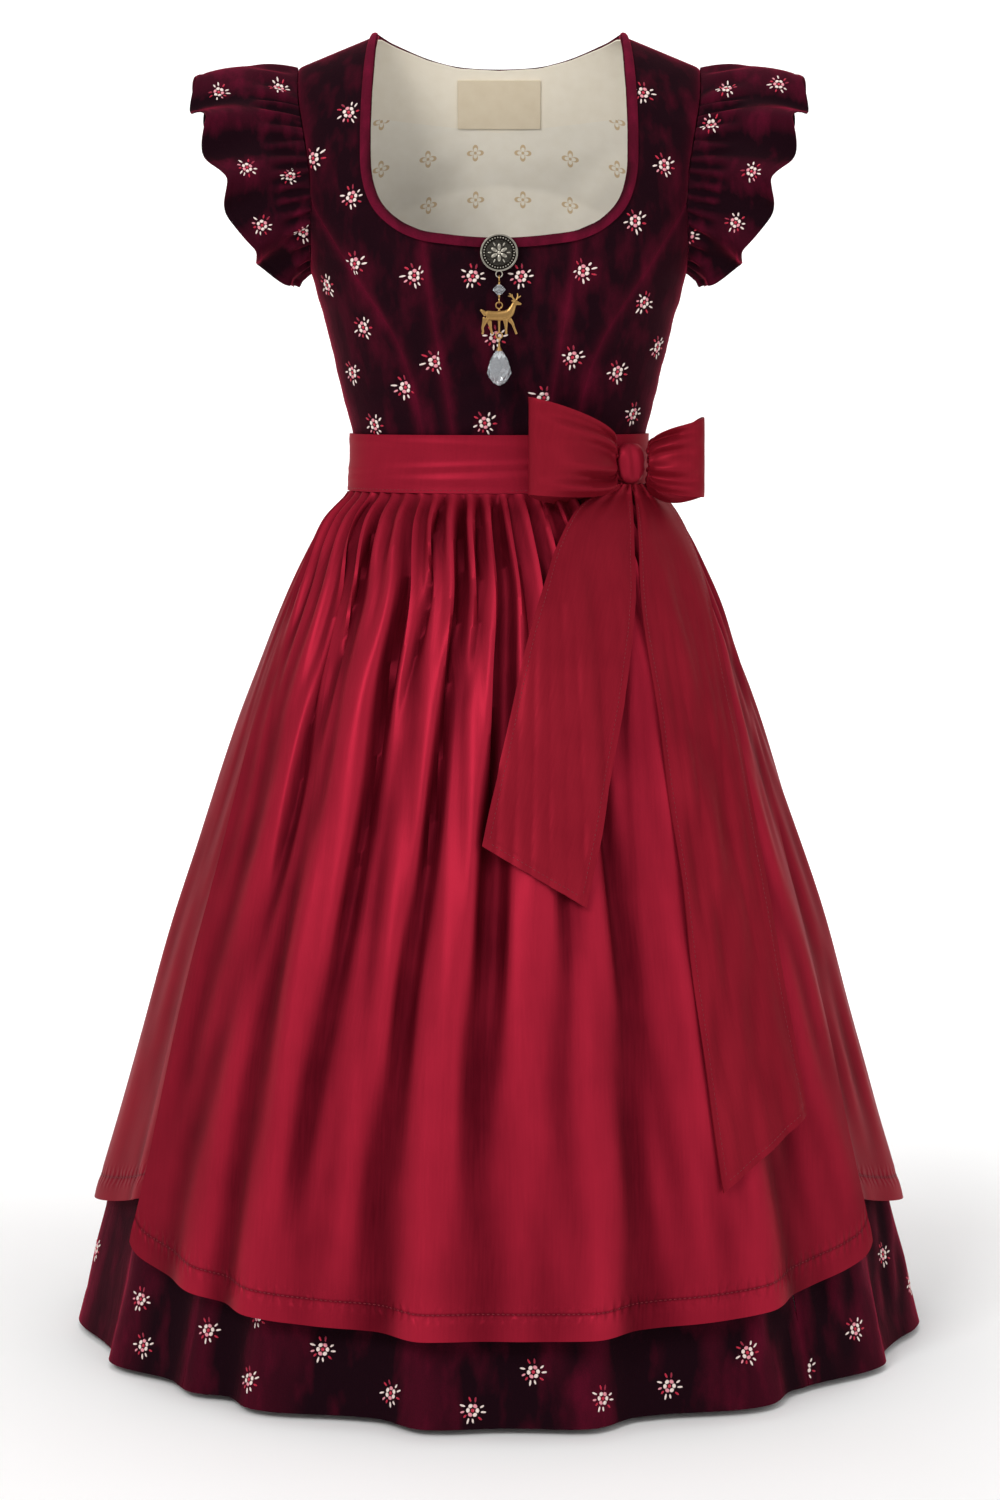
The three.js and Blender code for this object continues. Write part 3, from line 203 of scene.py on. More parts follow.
SKIRT = Stations("z width depth velvet_inset apron_lift", [
    (-385, 138.5, 93, 3.3, 3), (-411, 139.6, 95, 3.6, 3), (-437, 160, 115, 9, 6), (-474, 181, 136, 12, 8),
    (-526, 206, 160, 13, 9), (-577, 227, 181, 13, 9), (-629, 246, 199, 13, 9), (-727, 278, 229, 13, 9),
    (-817, 307, 256, 13, 9), (-916, 334, 281, 13, 9), (-1000, 357, 302, 13, 9), (-1072, 377, 319, 13, 9),
    (-1110, 386, 327, 13, 9), (-1190, 405, 342, 13, 9),
])
EDGES = Stations("z apron_left apron_right satin_left satin_right", [
    (-411, 80, 85, 72, 76), (-430, 77, 84, 70, 75), (-498, 68, 79, 62, 71), (-579, 64, 73, 58, 66),
    (-670, 60.4, 67.5, 56, 62), (-780, 59, 64, 57, 61), (-872, 58.5, 61.5, 59.4, 62.2),
    (-1000, 57.5, 58.8, 59, 60.4), (-1110, 57, 57.2, 58.6, 59),
])
# Folds that all layers share: crest azimuth, reach towards the front and the back, height at the hem
FOLDS = [
    (11, 16, 7, 20), (35, 15, 7, 18), (59, 14, 7, 16), (81, 12, 9, 13), (104, 13, 9, 16), (127, 12, 8, 18),
    (150, 13, 9, 15), (172, 12, 10, 18), (-9, 16, 7, 20), (-32, 14, 6, 16), (-43, 6, 6, 11), (-60, 11, 7, 16),
    (-83, 14, 8, 13), (-107, 14, 9, 17), (-133, 13, 9, 15), (-157, 13, 9, 18),
]
FOLD_MIDDLE = 8.0
FOLD_GROWTH = 1.3
# The apron's own folds: crest place near the top and the hem, reach, height
APRON_FOLDS = [
    (0.11, 0.07, 0.05, 4), (0.25, 0.19, 0.06, 8), (0.37, 0.31, 0.045, 7), (0.455, 0.41, 0.04, 7),
    (0.53, 0.52, 0.05, 8), (0.61, 0.62, 0.045, 7), (0.71, 0.72, 0.05, 7), (0.82, 0.83, 0.05, 6),
    (0.91, 0.93, 0.04, 4),
]
GATHER = Stations("z height", [
    (-385, 0.6), (-411, 1.0), (-425, 2.2), (-445, 2.9), (-480, 2.2), (-540, 0.8), (-600, 0), (-1200, 0),
])
BAND = Stations("z width depth", [(-358, 140.8, 94), (-384, 141.0, 95), (-411, 142.8, 97.5)])
APRON_GATHERS, SATIN_SIDE_GATHERS, SATIN_BACK_GATHERS, VELVET_GATHERS = 26, 8, 12, 9
VELVET_SPLIT, SATIN_SPLIT = 45.0, 130.0

# Tails as left x, left z, right x, right z from the knot down
SHORT_TAIL = [
    (106.8, -403.1, 120.5, -402.9), (72, -424, 122, -426), (52, -456, 123, -458), (40, -490, 122, -496),
    (27, -530, 118, -540), (14, -582, 109, -598), (1, -640, 96, -662), (-8, -678, 85, -716),
    (-14.6, -709, 75.3, -761),
]
LONG_TAIL = [
    (121.6, -403, 136, -403), (125, -426, 161, -424), (126, -462, 179, -458), (127, -508, 191, -500),
    (137, -586, 208, -586), (148, -662, 223, -666), (157, -735, 236, -744), (167, -817, 248, -818),
    (177, -900, 260, -886), (185.5, -960, 266, -924), (191.3, -1001, 269.6, -952),
]


def lerp(a: Array, b: Array, t: Array) -> Array:
    """Point between a and b at share t."""
    return a + (b - a) * t


def forward(way: Array) -> Array:
    """Level unit direction square to a way, towards the front."""
    normal = unit(np.array([way[1], -way[0], 0]))
    return -normal if normal[1] > 0 else normal


def signed_power(value: Array, exponent: Array) -> Array:
    """Power that keeps the sign of its base."""
    return np.sign(value) * np.abs(value) ** exponent


def spline(values: Array, place: Array) -> Array:
    """Uniform Catmull-Rom curve through the first axis of values.

    Args:
        values: points, in order.
        place: places along them, from 0 to 1.

    Returns:
        One point for each place.
    """
    values = np.asarray(values, dtype=float)
    padded = np.concatenate([2 * values[:1] - values[1:2], values, 2 * values[-1:] - values[-2:-1]])
    at = np.clip(np.asarray(place, dtype=float), 0, 1) * (len(values) - 1)
    i = np.minimum(at.astype(int), len(values) - 2)
    t = (at - i).reshape(at.shape + (1,) * (values.ndim - 1))
    a, b, c, d = (padded[i + k] for k in range(4))
    return 0.5 * (2 * b + (c - a) * t + (2 * a - 5 * b + 4 * c - d) * t**2 + (3 * b - a - 3 * c + d) * t**3)


def cornered(values: Array, place: Array, corner: int) -> Array:
    """Spline that turns a sharp corner at one of its points."""
    values, place = np.asarray(values, dtype=float), np.asarray(place, dtype=float)
    last = len(values) - 1
    low = spline(values[:corner + 1], np.minimum(place * last / corner, 1))
    high = spline(values[corner:], np.clip((place * last - corner) / (last - corner), 0, 1))
    return np.where((place * last <= corner).reshape(place.shape + (1,) * (values.ndim - 1)), low, high)


def ripple(x: Array, y: Array, seed: int, pitch: tuple[float, float], waves: int = 7) -> Array:
    """Seeded sum of slow waves, about -1 to 1.

    Args:
        x: first coordinate in millimetres.
        y: second coordinate in millimetres.
        seed: which pattern.
        pitch: rough wavelength along x and y.
        waves: how many waves are summed.

    Returns:
        Heights of the pattern.
    """
    chance = np.random.default_rng(seed)
    total = 0.0
    for _ in range(waves):
        fx, fy = chance.uniform(0.5, 1.5, 2) / pitch * chance.choice([-1, 1], 2)
        total = total + np.sin(2 * math.pi * (fx * x + fy * y) + chance.uniform(0, 6.3))
    return total / math.sqrt(waves) / 1.4


def bell(distance: Array, width: float) -> Array:
    """Smooth bump, 1 at no distance."""
    return np.exp(-((distance / width) ** 2))


def level_x(x: Array) -> Array:
    """Distance from the middle, levelled out near the neck."""
    size = np.abs(x)
    return np.where(size < LEVEL_WIDTH, (LEVEL_WIDTH + size**2 / LEVEL_WIDTH) / 2, size)


def shoulder_z(x: Array) -> Array:
    """Height of the shoulder line over x."""
    return NECK_Z - SHOULDER_SLOPE * (level_x(x) - NECK_X)


def closing_at(x: Array, z: Array) -> Array:
    """How far the torso has opened from its shoulder line, from 0 to 1."""
    return np.clip((shoulder_z(x) - z) / SHOULDER_HEIGHT, 0, 1) ** SHOULDER_ROUND


def torso_at(x: Array, z: Array, face: Face) -> Array:
    """Point of the torso over x and z.

    Args:
        x: across, in millimetres.
        z: height, in millimetres.
        face: front or back half.

    Returns:
        Points with x, y and z on the last axis.
    """
    x, z = np.broadcast_arrays(np.asarray(x, float), np.asarray(z, float))
    corner = TORSO.at("corner", z)
    share = np.clip(np.abs(x) / TORSO.at("width", z), 0, 1) ** (1 / corner)
    cosine = np.sqrt(np.clip(1 - share**2, 0, 1))
    closing = closing_at(x, z)
    depth = TORSO.at("front" if face is Face.FRONT else "back", z) * closing * cosine**corner
    if face is Face.FRONT:
        away = ((np.abs(x) - BUST_X) ** 2 + (z - BUST_Z) ** 2) / (2 * BUST_SPREAD**2)
        depth = depth + BUST_HEIGHT * np.exp(-away) * np.sqrt(cosine) * closing
    return np.stack([x, -depth * face.value, z], axis=-1)


def torso_turned(azimuth: Array, z: Array, face: Face, mirror: int) -> Array:
    """Point of the torso at an azimuth from its front or back middle.

    Args:
        azimuth: turn from the middle of the face in degrees, up to 90 at the side.
        z: height in millimetres.
        face: front or back half.
        mirror: 1 for the viewer's right, -1 for the left.

    Returns:
        Points with x, y and z on the last axis.
    """
    sine = np.sin(np.radians(azimuth))
    x = mirror * TORSO.at("width", z) * np.abs(sine) ** TORSO.at("corner", z)
    return torso_at(x, z, face)


def turn_at(x: Array, z: Array) -> Array:
    """Azimuth from the middle of a face, in degrees, of a point over x and z."""
    share = np.clip(np.abs(x) / TORSO.at("width", z), 0, 1) ** (1 / TORSO.at("corner", z))
    return np.degrees(np.arcsin(share))


def back_top_z(x: Array) -> Array:
    """Height of the back's top edge over x."""
    return np.where(np.abs(x) < NECK_X, np.interp(np.abs(x), BACK_NECK_X, BACK_NECK_Z), shoulder_z(x))


def front_centre_sheet(u: Array, v: Array) -> Array:
    """Front middle panel; v runs up."""
    seam = spline(INNER_SEAM, v[:, None])
    half, z = seam[..., 0], seam[..., 1]
    x = half * (2 * u - 1)
    sag = FRONT_NECK_SAG * np.clip(1 - (x / half) ** 2, 0, 1) * v[:, None] ** 8
    return torso_at(x, z - sag, Face.FRONT)


def panel_sheet(face: Face, mirror: int, rows: slice = slice(None)) -> Sheet:
    """Front or back panel from its inner seam to its outer one, with its strap.

    Args:
        face: front or back half.
        mirror: 1 for the viewer's right, -1 for the left.
        rows: which rows of the panel are used.

    Returns:
        A sheet whose u runs outwards and v up.
    """
    if face is Face.FRONT:
        seam = [(x, z, px, pz) for (x, z), (px, pz) in zip(INNER_SEAM, PRINCESS_SEAM)]
        strap = [
            (x, shoulder_z(x) - drop if z is None else z, ax, shoulder_z(ax) - drop if az is None else az)
            for x, z, ax, az, drop in FRONT_STRAP
        ]
        table = np.array(seam + strap, dtype=float)[rows]
        drops = [None] * len(table)
    else:
        seam = [(0, z, ax, az) for z, (ax, az) in zip(CENTRE_BACK_Z, BACK_SEAM)]
        strap = [(0, z or 0, ax, az or 0) for z, ax, az, _ in BACK_STRAP]
        table = np.array(seam + strap, dtype=float)[rows]
        drops = ([None] * len(seam) + [drop for *_, drop in BACK_STRAP])[rows]

    def sheet(u: Array, v: Array) -> Array:
        across = np.abs(u)
        xs = lerp(table[:, 0:1], table[:, 2:3], across[None, :])
        zs = lerp(table[:, 1:2], table[:, 3:4], across[None, :])
        for i, drop in enumerate(drops):
            if drop is not None:
                zs[i] = back_top_z(xs[i]) - drop
        if face is Face.FRONT:
            x, z = (cornered(values, v, len(INNER_SEAM) - 1) for values in (xs, zs))
        else:
            x, z = spline(xs, v), spline(zs, v)
        points = torso_at(x * np.where(u < 0, -1, 1) * mirror, z, face)
        points[..., 1] -= face.value * SHOULDER_SEAM_HALF * (1 - closing_at(x, z))
        return points

    return sheet


def side_sheet(face: Face, mirror: int) -> Sheet:
    """Side panel from a princess or back seam to the side seam; v runs up to the armhole."""
    seam = np.array(PRINCESS_SEAM if face is Face.FRONT else BACK_SEAM, dtype=float)

    def sheet(u: Array, v: Array) -> Array:
        start = spline(seam, v)[:, None, :]
        side_z = spline(SIDE_SEAM_Z, v)[:, None]
        turn = lerp(turn_at(start[..., 0], start[..., 1]), 90.0, u)
        sag = ARMHOLE_SAG * v[:, None] ** 6 * np.sin(math.pi * u)
        return torso_turned(turn, lerp(start[..., 1], side_z, u) - sag, face, mirror)

    return sheet


def binding_sheet(u: Array, v: Array) -> Array:
    """Neck binding, a closed ring in u; v runs across its width, away from the neck."""
    rows = BINDING + [(f, -x, z, drop, -ox, oz, w) for f, x, z, drop, ox, oz, w in BINDING[-2:0:-1]]
    columns = []
    for face, x, z, drop, out_x, out_z, width in rows:
        across = x + out_x * width * v
        height = shoulder_z(across) - drop if drop is not None else z + out_z * width * v
        columns.append(torso_at(across, height, Face.FRONT if face == "F" else Face.BACK))
    ring = np.stack(columns + columns[:2], axis=0)
    start = np.concatenate([[columns[-1]], ring], axis=0)
    place = (u * len(rows) + 1) / (len(start) - 1)
    return np.swapaxes(spline(start, place), 0, 1)


def centripetal(points: Array, place: Array) -> Array:
    """Centripetal Catmull-Rom curve through points, at places from 0 to 1."""
    count = len(points)
    padded = np.concatenate([2 * points[:1] - points[1:2], points, 2 * points[-1:] - points[-2:-1]])
    at = np.clip(place, 0, 1) * (count - 1)
    i = np.minimum(at.astype(int), count - 2)
    t = (at - i)[:, None]
    a, b, c, d = (padded[i + k] for k in range(4))
    d0, d1, d2 = (np.sqrt(np.linalg.norm(q - p, axis=1))[:, None] for p, q in ((a, b), (b, c), (c, d)))
    m1 = ((b - a) / d0 - (c - a) / (d0 + d1) + (c - b) / d1) * d1
    m2 = ((c - b) / d1 - (d - b) / (d1 + d2) + (d - c) / d2) * d1
    return b + m1 * t + (3 * (c - b) - 2 * m1 - m2) * t**2 + (2 * (b - c) + m1 + m2) * t**3


def unit(vectors: Array) -> Array:
    """Vectors at length 1."""
    return vectors / np.maximum(np.linalg.norm(vectors, axis=-1, keepdims=True), 1e-9)


def fold_height(azimuth: Array, z: Array) -> Array:
    """Shared folds of the skirt layers at an azimuth and height."""
    height = -FOLD_MIDDLE
    for crest, inner, outer, tall in FOLDS:
        away = azimuth - crest
        away = away - 360 * np.round(away / 360)
        share = np.abs(away) / np.where(np.sign(away) == np.sign(crest), outer, inner)
        height = height + tall * 0.5 * (1 + np.cos(math.pi * np.minimum(share, 1)))
    fall = np.clip((SKIRT_TOP_Z - z) / (SKIRT_TOP_Z - VELVET_HEM_Z), 0, 1)
    return height * fall**FOLD_GROWTH


def skirt_point(azimuth: Array, z: Array, lift: Array) -> Array:
    """Point of a skirt layer that stands lift outside the satin's base form."""
    a = np.radians(azimuth)
    x = (SKIRT.at("width", z) + lift) * np.sin(a)
    y = -(SKIRT.at("depth", z) + lift) * np.cos(a)
    return np.stack(np.broadcast_arrays(x, y, z), axis=-1)


def gather_wave(z: Array, count: int, u: Array) -> Array:
    """Gathers below the waist."""
    return GATHER.at("height", z) * np.cos(2 * math.pi * count * u)


def apron_lift(azimuth: Array, z: Array) -> Array:
    """How far the apron stands outside the satin's base form."""
    left, right = EDGES.at("apron_left", z), EDGES.at("apron_right", z)
    u = (azimuth + left) / (left + right)
    slide = np.clip((-520 - z) / 480, 0, 1)
    own = 0.0
    for top, bottom, reach, tall in APRON_FOLDS:
        away = np.minimum(np.abs(u - lerp(top, bottom, slide)) / reach, 1)
        own = own + tall * 0.5 * (1 + np.cos(math.pi * away))
    strength = np.clip((-440 - z) / 120, 0, 1) * np.clip((z + 1250) / 500, 0.25, 1)
    return SKIRT.at("apron_lift", z) + fold_height(azimuth, z) + own * strength


def srgb(code: str) -> tuple[float, float, float, float]:
    """Linear colour of an sRGB hex value.

    Args:
        code: six hex digits.

    Returns:
        Linear red, green, blue and an alpha of 1.
    """
    parts = [int(code[i:i + 2], 16) / 255 for i in (0, 2, 4)]
    linear = [p / 12.92 if p <= 0.04045 else ((p + 0.055) / 1.055) ** 2.4 for p in parts]
    return (*linear, 1.0)


class Nodes:
    """A material's node tree while it is being wired."""

    def __init__(self, name: str) -> None:
        """Starts a material with a bare Principled shader."""
        self.material = bpy.data.materials.new(name)
        self.material.use_nodes = True
        self.tree = self.material.node_tree
        self.shader = self.tree.nodes["Principled BSDF"]

    def add(self, kind: str, inputs: dict | tuple = (), out: int | str = 0,
            **settings: object) -> bpy.types.NodeSocket:
        """Adds one node with its settings and links.

        Args:
            kind: the node's type, or in capitals what a Math node works out.
            inputs: values or other nodes' outputs, in order or by socket name or number.
            out: which output is handed on.
            settings: the node's own properties.

        Returns:
            The node's output.
        """
        if kind.isupper():
            kind, settings = "Math", {"operation": kind, **settings}
        node = self.tree.nodes.new("ShaderNode" + kind)
        for key, value in settings.items():
            setattr(node, key, value)
        self.feed(node, inputs if isinstance(inputs, dict) else dict(enumerate(inputs)))
        return node.outputs[out]

    def feed(self, node: bpy.types.Node, inputs: dict) -> None:
        """Sets or links a node's inputs."""
        for key, value in inputs.items():
            if isinstance(value, bpy.types.NodeSocket):
                self.tree.links.new(value, node.inputs[key])
            else:
                node.inputs[key].default_value = value

    def finish(self, **sockets: object) -> bpy.types.Material:
        """Sets the shader's sockets, named with _ for spaces, and returns the material."""
        self.feed(self.shader, {key.replace("_", " "): value for key, value in sockets.items()})
        return self.material


@dataclass(frozen=True)
class CottonVelvet:
    """Cut-pile cotton velvet: near black face on, with a crimson sheen bloom on turned-away parts, a painted
    crimson highlight along seams and on fold crests, and painted shade in fold valleys.
    """

    name: str = "cotton_velvet_bordeaux"
    ground: str = "17020b"
    # lit is the colour of the painted highlight on crests and seams, and of the crushed pile's own lighter patches
    lit: str = "640a26"
    bloom: str = "c81a48"
    crush_mm: float = 19.0
    painted_crest_light: float = 0.5
    painted_seam_light: float = 0.55
    patch_share: float = 0.42
    pile_mm: float = 1.1

    def make(self) -> bpy.types.Material:
        """Builds the material; the pile's real 0.4 mm pitch is drawn at 1.1 mm so that it shows."""
        nodes = Nodes(self.name)
        place = nodes.add("TexCoord", out="Object")
        brushed = nodes.add("VectorMath", (place, (1.0, 1.0, 0.38)), operation="MULTIPLY")
        crush = nodes.add("TexNoise", {"Vector": brushed, "Scale": 1 / (self.crush_mm * MM), "Detail": 3.0})
        pile = nodes.add("TexNoise", {"Vector": place, "Scale": 1 / (self.pile_mm * MM), "Detail": 1.0})
        # crest and edge paint light into the colour: painted highlight on fold crests and along seams, painted
        # shade in fold valleys
        crest, edge = (nodes.add("Attribute", out="Fac", attribute_name=name) for name in ("crest", "edge"))
        patch = nodes.add("MapRange", {"Value": crush, "From Min": 0.47, "From Max": 0.75})
        bruised = nodes.add("MULTIPLY", (patch, self.patch_share))
        # painted highlight along the seams, added to the crushed pile's own lighter patches
        seam_light_and_crush = nodes.add("MULTIPLY_ADD", (edge, self.painted_seam_light, bruised))
        share = nodes.add("MULTIPLY_ADD", (crest, self.painted_crest_light, seam_light_and_crush), use_clamp=True)
        colour = nodes.add("Mix", {0: share, 6: srgb(self.ground), 7: srgb(self.lit)}, 2, data_type="RGBA")
        fleck = nodes.add("MULTIPLY", (pile, 0.4))
        shaded = nodes.add("Mix", {0: fleck, 6: colour, 7: srgb("0d0104")}, 2, data_type="RGBA")
        crushed = nodes.add("Bump", {"Height": crush, "Distance": 1.6 * MM, "Strength": 0.5})
        relief = nodes.add("Bump", {"Height": pile, "Distance": 0.5 * MM, "Strength": 0.45, "Normal": crushed})
        return nodes.finish(Base_Color=shaded, Roughness=0.92, Specular_IOR_Level=0.08, Sheen_Weight=0.9,
                            Sheen_Roughness=0.3, Sheen_Tint=srgb(self.bloom), Normal=relief)


@dataclass(frozen=True)
class WineSatin:
    """Duchesse satin: long dyed floats give a soft, broad crimson gloss over fine ribs across the cloth; its colour
    carries a painted highlight on fold crests and painted shade in fold valleys, over a random cloud of tone.
    """

    name: str = "duchesse_satin_wine"
    # deep is the colour of the painted shade in fold valleys and of the darker random tone; lit is the painted
    # highlight's colour on crests and the lighter tone
    deep: str = "420610"
    lit: str = "a01f33"
    roughness: float = 0.44
    rib_mm: float = 0.8
    hem_mm: float = 0.0
    pucker_mm: float = 9.0
    painted_crest_light: float = 0.4

    def make(self) -> bpy.types.Material:
        """Builds the material; the real 0.25 mm ribs are drawn at 0.8 mm, and a hem puckers at hem_mm."""
        nodes = Nodes(self.name)
        lay = nodes.add("UVMap", uv_map="lay")
        up = nodes.add("SeparateXYZ", (lay,), "Y")
        place = nodes.add("TexCoord", out="Object")
        drawn = nodes.add("VectorMath", (lay, (1.0, 0.06, 1.0)), operation="MULTIPLY")
        slub = nodes.add("TexNoise", {"Vector": drawn, "Scale": 1 / (2.2 * MM), "Detail": 2.0})
        cloud = nodes.add("TexNoise", {"Vector": place, "Scale": 1 / (60 * MM), "Detail": 2.0})
        crest = nodes.add("Attribute", out="Fac", attribute_name="crest")
        clouded = nodes.add("MULTIPLY_ADD", (cloud, 0.35, nodes.add("MULTIPLY", (slub, 0.2))))
        level = nodes.add("ADD", (clouded, 0.25))
        # painted highlight on fold crests and painted shade in valleys, over the random cloud and slub tone
        crest_light_and_tone = nodes.add("MULTIPLY_ADD", (crest, self.painted_crest_light, level), use_clamp=True)
        colour = nodes.add("Mix", {0: crest_light_and_tone, 6: srgb(self.deep), 7: srgb(self.lit)}, 2, data_type="RGBA")
        ribs = nodes.add("SINE", (nodes.add("MULTIPLY", (up, 2 * math.pi / (self.rib_mm * MM))),))
        broad = nodes.add("Bump", {"Height": cloud, "Distance": 1.6 * MM, "Strength": 0.35})
        fine = nodes.add("Bump", {"Height": slub, "Distance": 0.12 * MM, "Strength": 0.5, "Normal": broad})
        relief = nodes.add("Bump", {"Height": ribs, "Distance": 0.02 * MM, "Strength": 0.35, "Normal": fine})
        if self.hem_mm:
            relief, colour = self.hemmed(nodes, nodes.add("SeparateXYZ", (lay,), "X"), up, relief, colour)
        gloss = nodes.add("MULTIPLY_ADD", (slub, 0.1, self.roughness - 0.05))
        return nodes.finish(
            Base_Color=colour, Metallic=0.42, Roughness=gloss, Specular_IOR_Level=0.12,
            Specular_Tint=srgb("d84a68"), Anisotropic=0.35, Sheen_Weight=0.12, Sheen_Roughness=0.35,
            Sheen_Tint=srgb("c01a3c"), Normal=relief,
        )

    def hemmed(self, nodes: Nodes, across: object, up: object, under: object, colour: object) -> tuple:
        """Small puckers, and painted shade in a thin groove, along the hem's stitching.

        Args:
            nodes: the tree.
            across: distance along the hem in metres.
            up: distance above the hem in metres.
            under: the relief below.
            colour: the colour below.

        Returns:
            The normal and the colour with the hem on them.
        """
        off = nodes.add("SUBTRACT", (up, self.hem_mm * MM))
        squared = nodes.add("MULTIPLY", (off, off))
        near, slim = (nodes.add("EXPONENT", (nodes.add("MULTIPLY", (squared, -1 / (reach * MM) ** 2)),))
                      for reach in (7, 1.3))
        flat = nodes.add("CombineXYZ", (across, up))
        wander = nodes.add("TexNoise", {"Vector": flat, "Scale": 1 / (16 * MM), "Detail": 2.0})
        drift = nodes.add("MULTIPLY", (wander, 9.0))
        phase = nodes.add("MULTIPLY_ADD", (across, 2 * math.pi / (self.pucker_mm * MM), drift))
        wave = nodes.add("MULTIPLY", (nodes.add("SINE", (phase,)), near))
        relief = nodes.add("Bump", {"Height": wave, "Distance": 0.8 * MM, "Strength": 0.8, "Normal": under})
        # painted shade darkens a thin line along the hem's stitching groove
        painted_groove_shade = nodes.add("MULTIPLY", (slim, 0.6))
        return relief, nodes.add("Mix", {0: painted_groove_shade, 6: colour, 7: srgb("3c0610")}, 2, data_type="RGBA")


@dataclass(frozen=True)
class PlainCotton:
    """Plain-weave cotton: matt, with a faint thread grid; a motif colour prints four-petal blossoms on it."""

    name: str
    colour: str
    shade: str
    motif: str = ""
    pitch_mm: float = 46.0
    thread_mm: float = 0.9

    def make(self) -> bpy.types.Material:
        """Builds the material; the real 0.35 mm threads are drawn at 0.9 mm so that they show."""
        nodes = Nodes(self.name)
        lay = nodes.add("UVMap", uv_map="lay")
        parts = [nodes.add("SeparateXYZ", (lay,), axis) for axis in "XY"]
        grain = nodes.add("TexNoise", {"Vector": lay, "Scale": 1 / (14 * MM), "Detail": 3.0})
        colour = nodes.add("Mix", {0: grain, 6: srgb(self.colour), 7: srgb(self.shade)}, 2, data_type="RGBA")
        turns = [nodes.add("MULTIPLY", (part, 2 * math.pi / (self.thread_mm * MM))) for part in parts]
        weave = nodes.add("MULTIPLY", tuple(nodes.add("SINE", (turn,)) for turn in turns))
        if self.motif:
            mask = self.blossom(nodes, parts)
            colour = nodes.add("Mix", {0: mask, 6: colour, 7: srgb(self.motif)}, 2, data_type="RGBA")
        soft = nodes.add("Bump", {"Height": grain, "Distance": 0.8 * MM, "Strength": 0.35})
        relief = nodes.add("Bump", {"Height": weave, "Distance": 0.05 * MM, "Strength": 0.4, "Normal": soft})
        return nodes.finish(Base_Color=colour, Roughness=0.85, Specular_IOR_Level=0.25, Sheen_Weight=0.1,
                            Sheen_Roughness=0.5, Normal=relief)

    def blossom(self, nodes: Nodes, parts: list) -> object:
        """Mask of the printed blossoms: four petals round an open middle, in a square layout.

        Args:
            nodes: the tree.
            parts: distances across and up the cloth in metres.

        Returns:
            How much print lies at a place.
        """
        cells = [nodes.add("DIVIDE", (part, self.pitch_mm * MM)) for part in parts]
        x, y = (nodes.add("SUBTRACT", (nodes.add("FRACT", (cell,)), 0.5)) for cell in cells)
        square = nodes.add("MULTIPLY_ADD", (x, x, nodes.add("MULTIPLY", (y, y))))
        radius = nodes.add("SQRT", (square,))
        turn = nodes.add("MULTIPLY", (nodes.add("ARCTAN2", (y, x)), 2.0))
        petal = nodes.add("ABSOLUTE", (nodes.add("COSINE", (turn,)),))
        reach = nodes.add("MULTIPLY_ADD", (petal, 0.135, 0.045))
        within = nodes.add("LESS_THAN", (radius, reach))
        beyond = nodes.add("GREATER_THAN", (radius, nodes.add("MULTIPLY", (reach, 0.66))))
        rim = nodes.add("MULTIPLY", (within, beyond))
        heart = nodes.add("LESS_THAN", (radius, 0.032))
        return nodes.add("MULTIPLY", (nodes.add("MAXIMUM", (rim, heart)), 0.75))


@dataclass(frozen=True)
class Metal:
    """Cast and polished metal, darker where tarnish sits."""

    name: str
    bright: str
    tarnish: str
    roughness: float
    tarnish_share: float

    def make(self) -> bpy.types.Material:
        """Builds the material with 1.6 mm tarnish blotches and fine wear."""
        nodes = Nodes(self.name)
        place = nodes.add("TexCoord", out="Object")
        blotch = nodes.add("TexNoise", {"Vector": place, "Scale": 1 / (1.6 * MM), "Detail": 3.0})
        wear = nodes.add("TexNoise", {"Vector": place, "Scale": 1 / (0.7 * MM), "Detail": 2.0})
        edge = nodes.add("NewGeometry", out="Pointiness")
        hollow = nodes.add("MapRange", {"Value": edge, "From Min": 0.49, "From Max": 0.545,
                                        "To Min": self.tarnish_share, "To Max": 0.0})
        share = nodes.add("MULTIPLY_ADD", (blotch, 0.25, hollow))
        colour = nodes.add("Mix", {0: share, 6: srgb(self.bright), 7: srgb(self.tarnish)}, 2, data_type="RGBA")
        relief = nodes.add("Bump", {"Height": wear, "Distance": 0.06 * MM, "Strength": 0.4})
        gloss = nodes.add("MULTIPLY_ADD", (blotch, 0.2, self.roughness))
        return nodes.finish(Base_Color=colour, Metallic=1.0, Normal=relief, Roughness=gloss)


@dataclass(frozen=True)
class CutGlass:
    """Faceted lead crystal: clear, sharp and very glossy."""

    name: str = "cut_lead_crystal"

    def make(self) -> bpy.types.Material:
        """Builds the material, with the faintest waviness of polishing."""
        nodes = Nodes(self.name)
        place = nodes.add("TexCoord", out="Object")
        waves = nodes.add("TexNoise", {"Vector": place, "Scale": 1 / (4 * MM), "Detail": 1.0})
        return nodes.finish(Base_Color=srgb("eef3f7"), Roughness=nodes.add("MULTIPLY", (waves, 0.03)), IOR=1.6,
                            Transmission_Weight=0.82, Specular_IOR_Level=0.9)


@dataclass(frozen=True)
class Thread:
    """Twisted sewing or embroidery thread: a silky gloss on raised stitches."""

    name: str
    colour: str = ""

    def make(self) -> bpy.types.Material:
        """Builds the material; a thread of no one colour takes the stitch's own from its attribute."""
        nodes = Nodes(self.name)
        place = nodes.add("TexCoord", out="Object")
        twist = nodes.add("TexNoise", {"Vector": place, "Scale": 1 / (0.6 * MM), "Detail": 1.0})
        worked = nodes.add("Attribute", out="Color", attribute_name="stitch")
        dyed = srgb(self.colour) if self.colour else worked
        shade = nodes.add("MULTIPLY", (twist, 0.25))
        colour = nodes.add("Mix", {0: shade, 6: dyed, 7: srgb("4a0a18")}, 2, data_type="RGBA")
        relief = nodes.add("Bump", {"Height": twist, "Distance": 0.15 * MM, "Strength": 0.6})
        return nodes.finish(Base_Color=colour, Roughness=0.55, Specular_IOR_Level=0.3, Sheen_Weight=0.2,
                            Sheen_Roughness=0.4, Normal=relief)


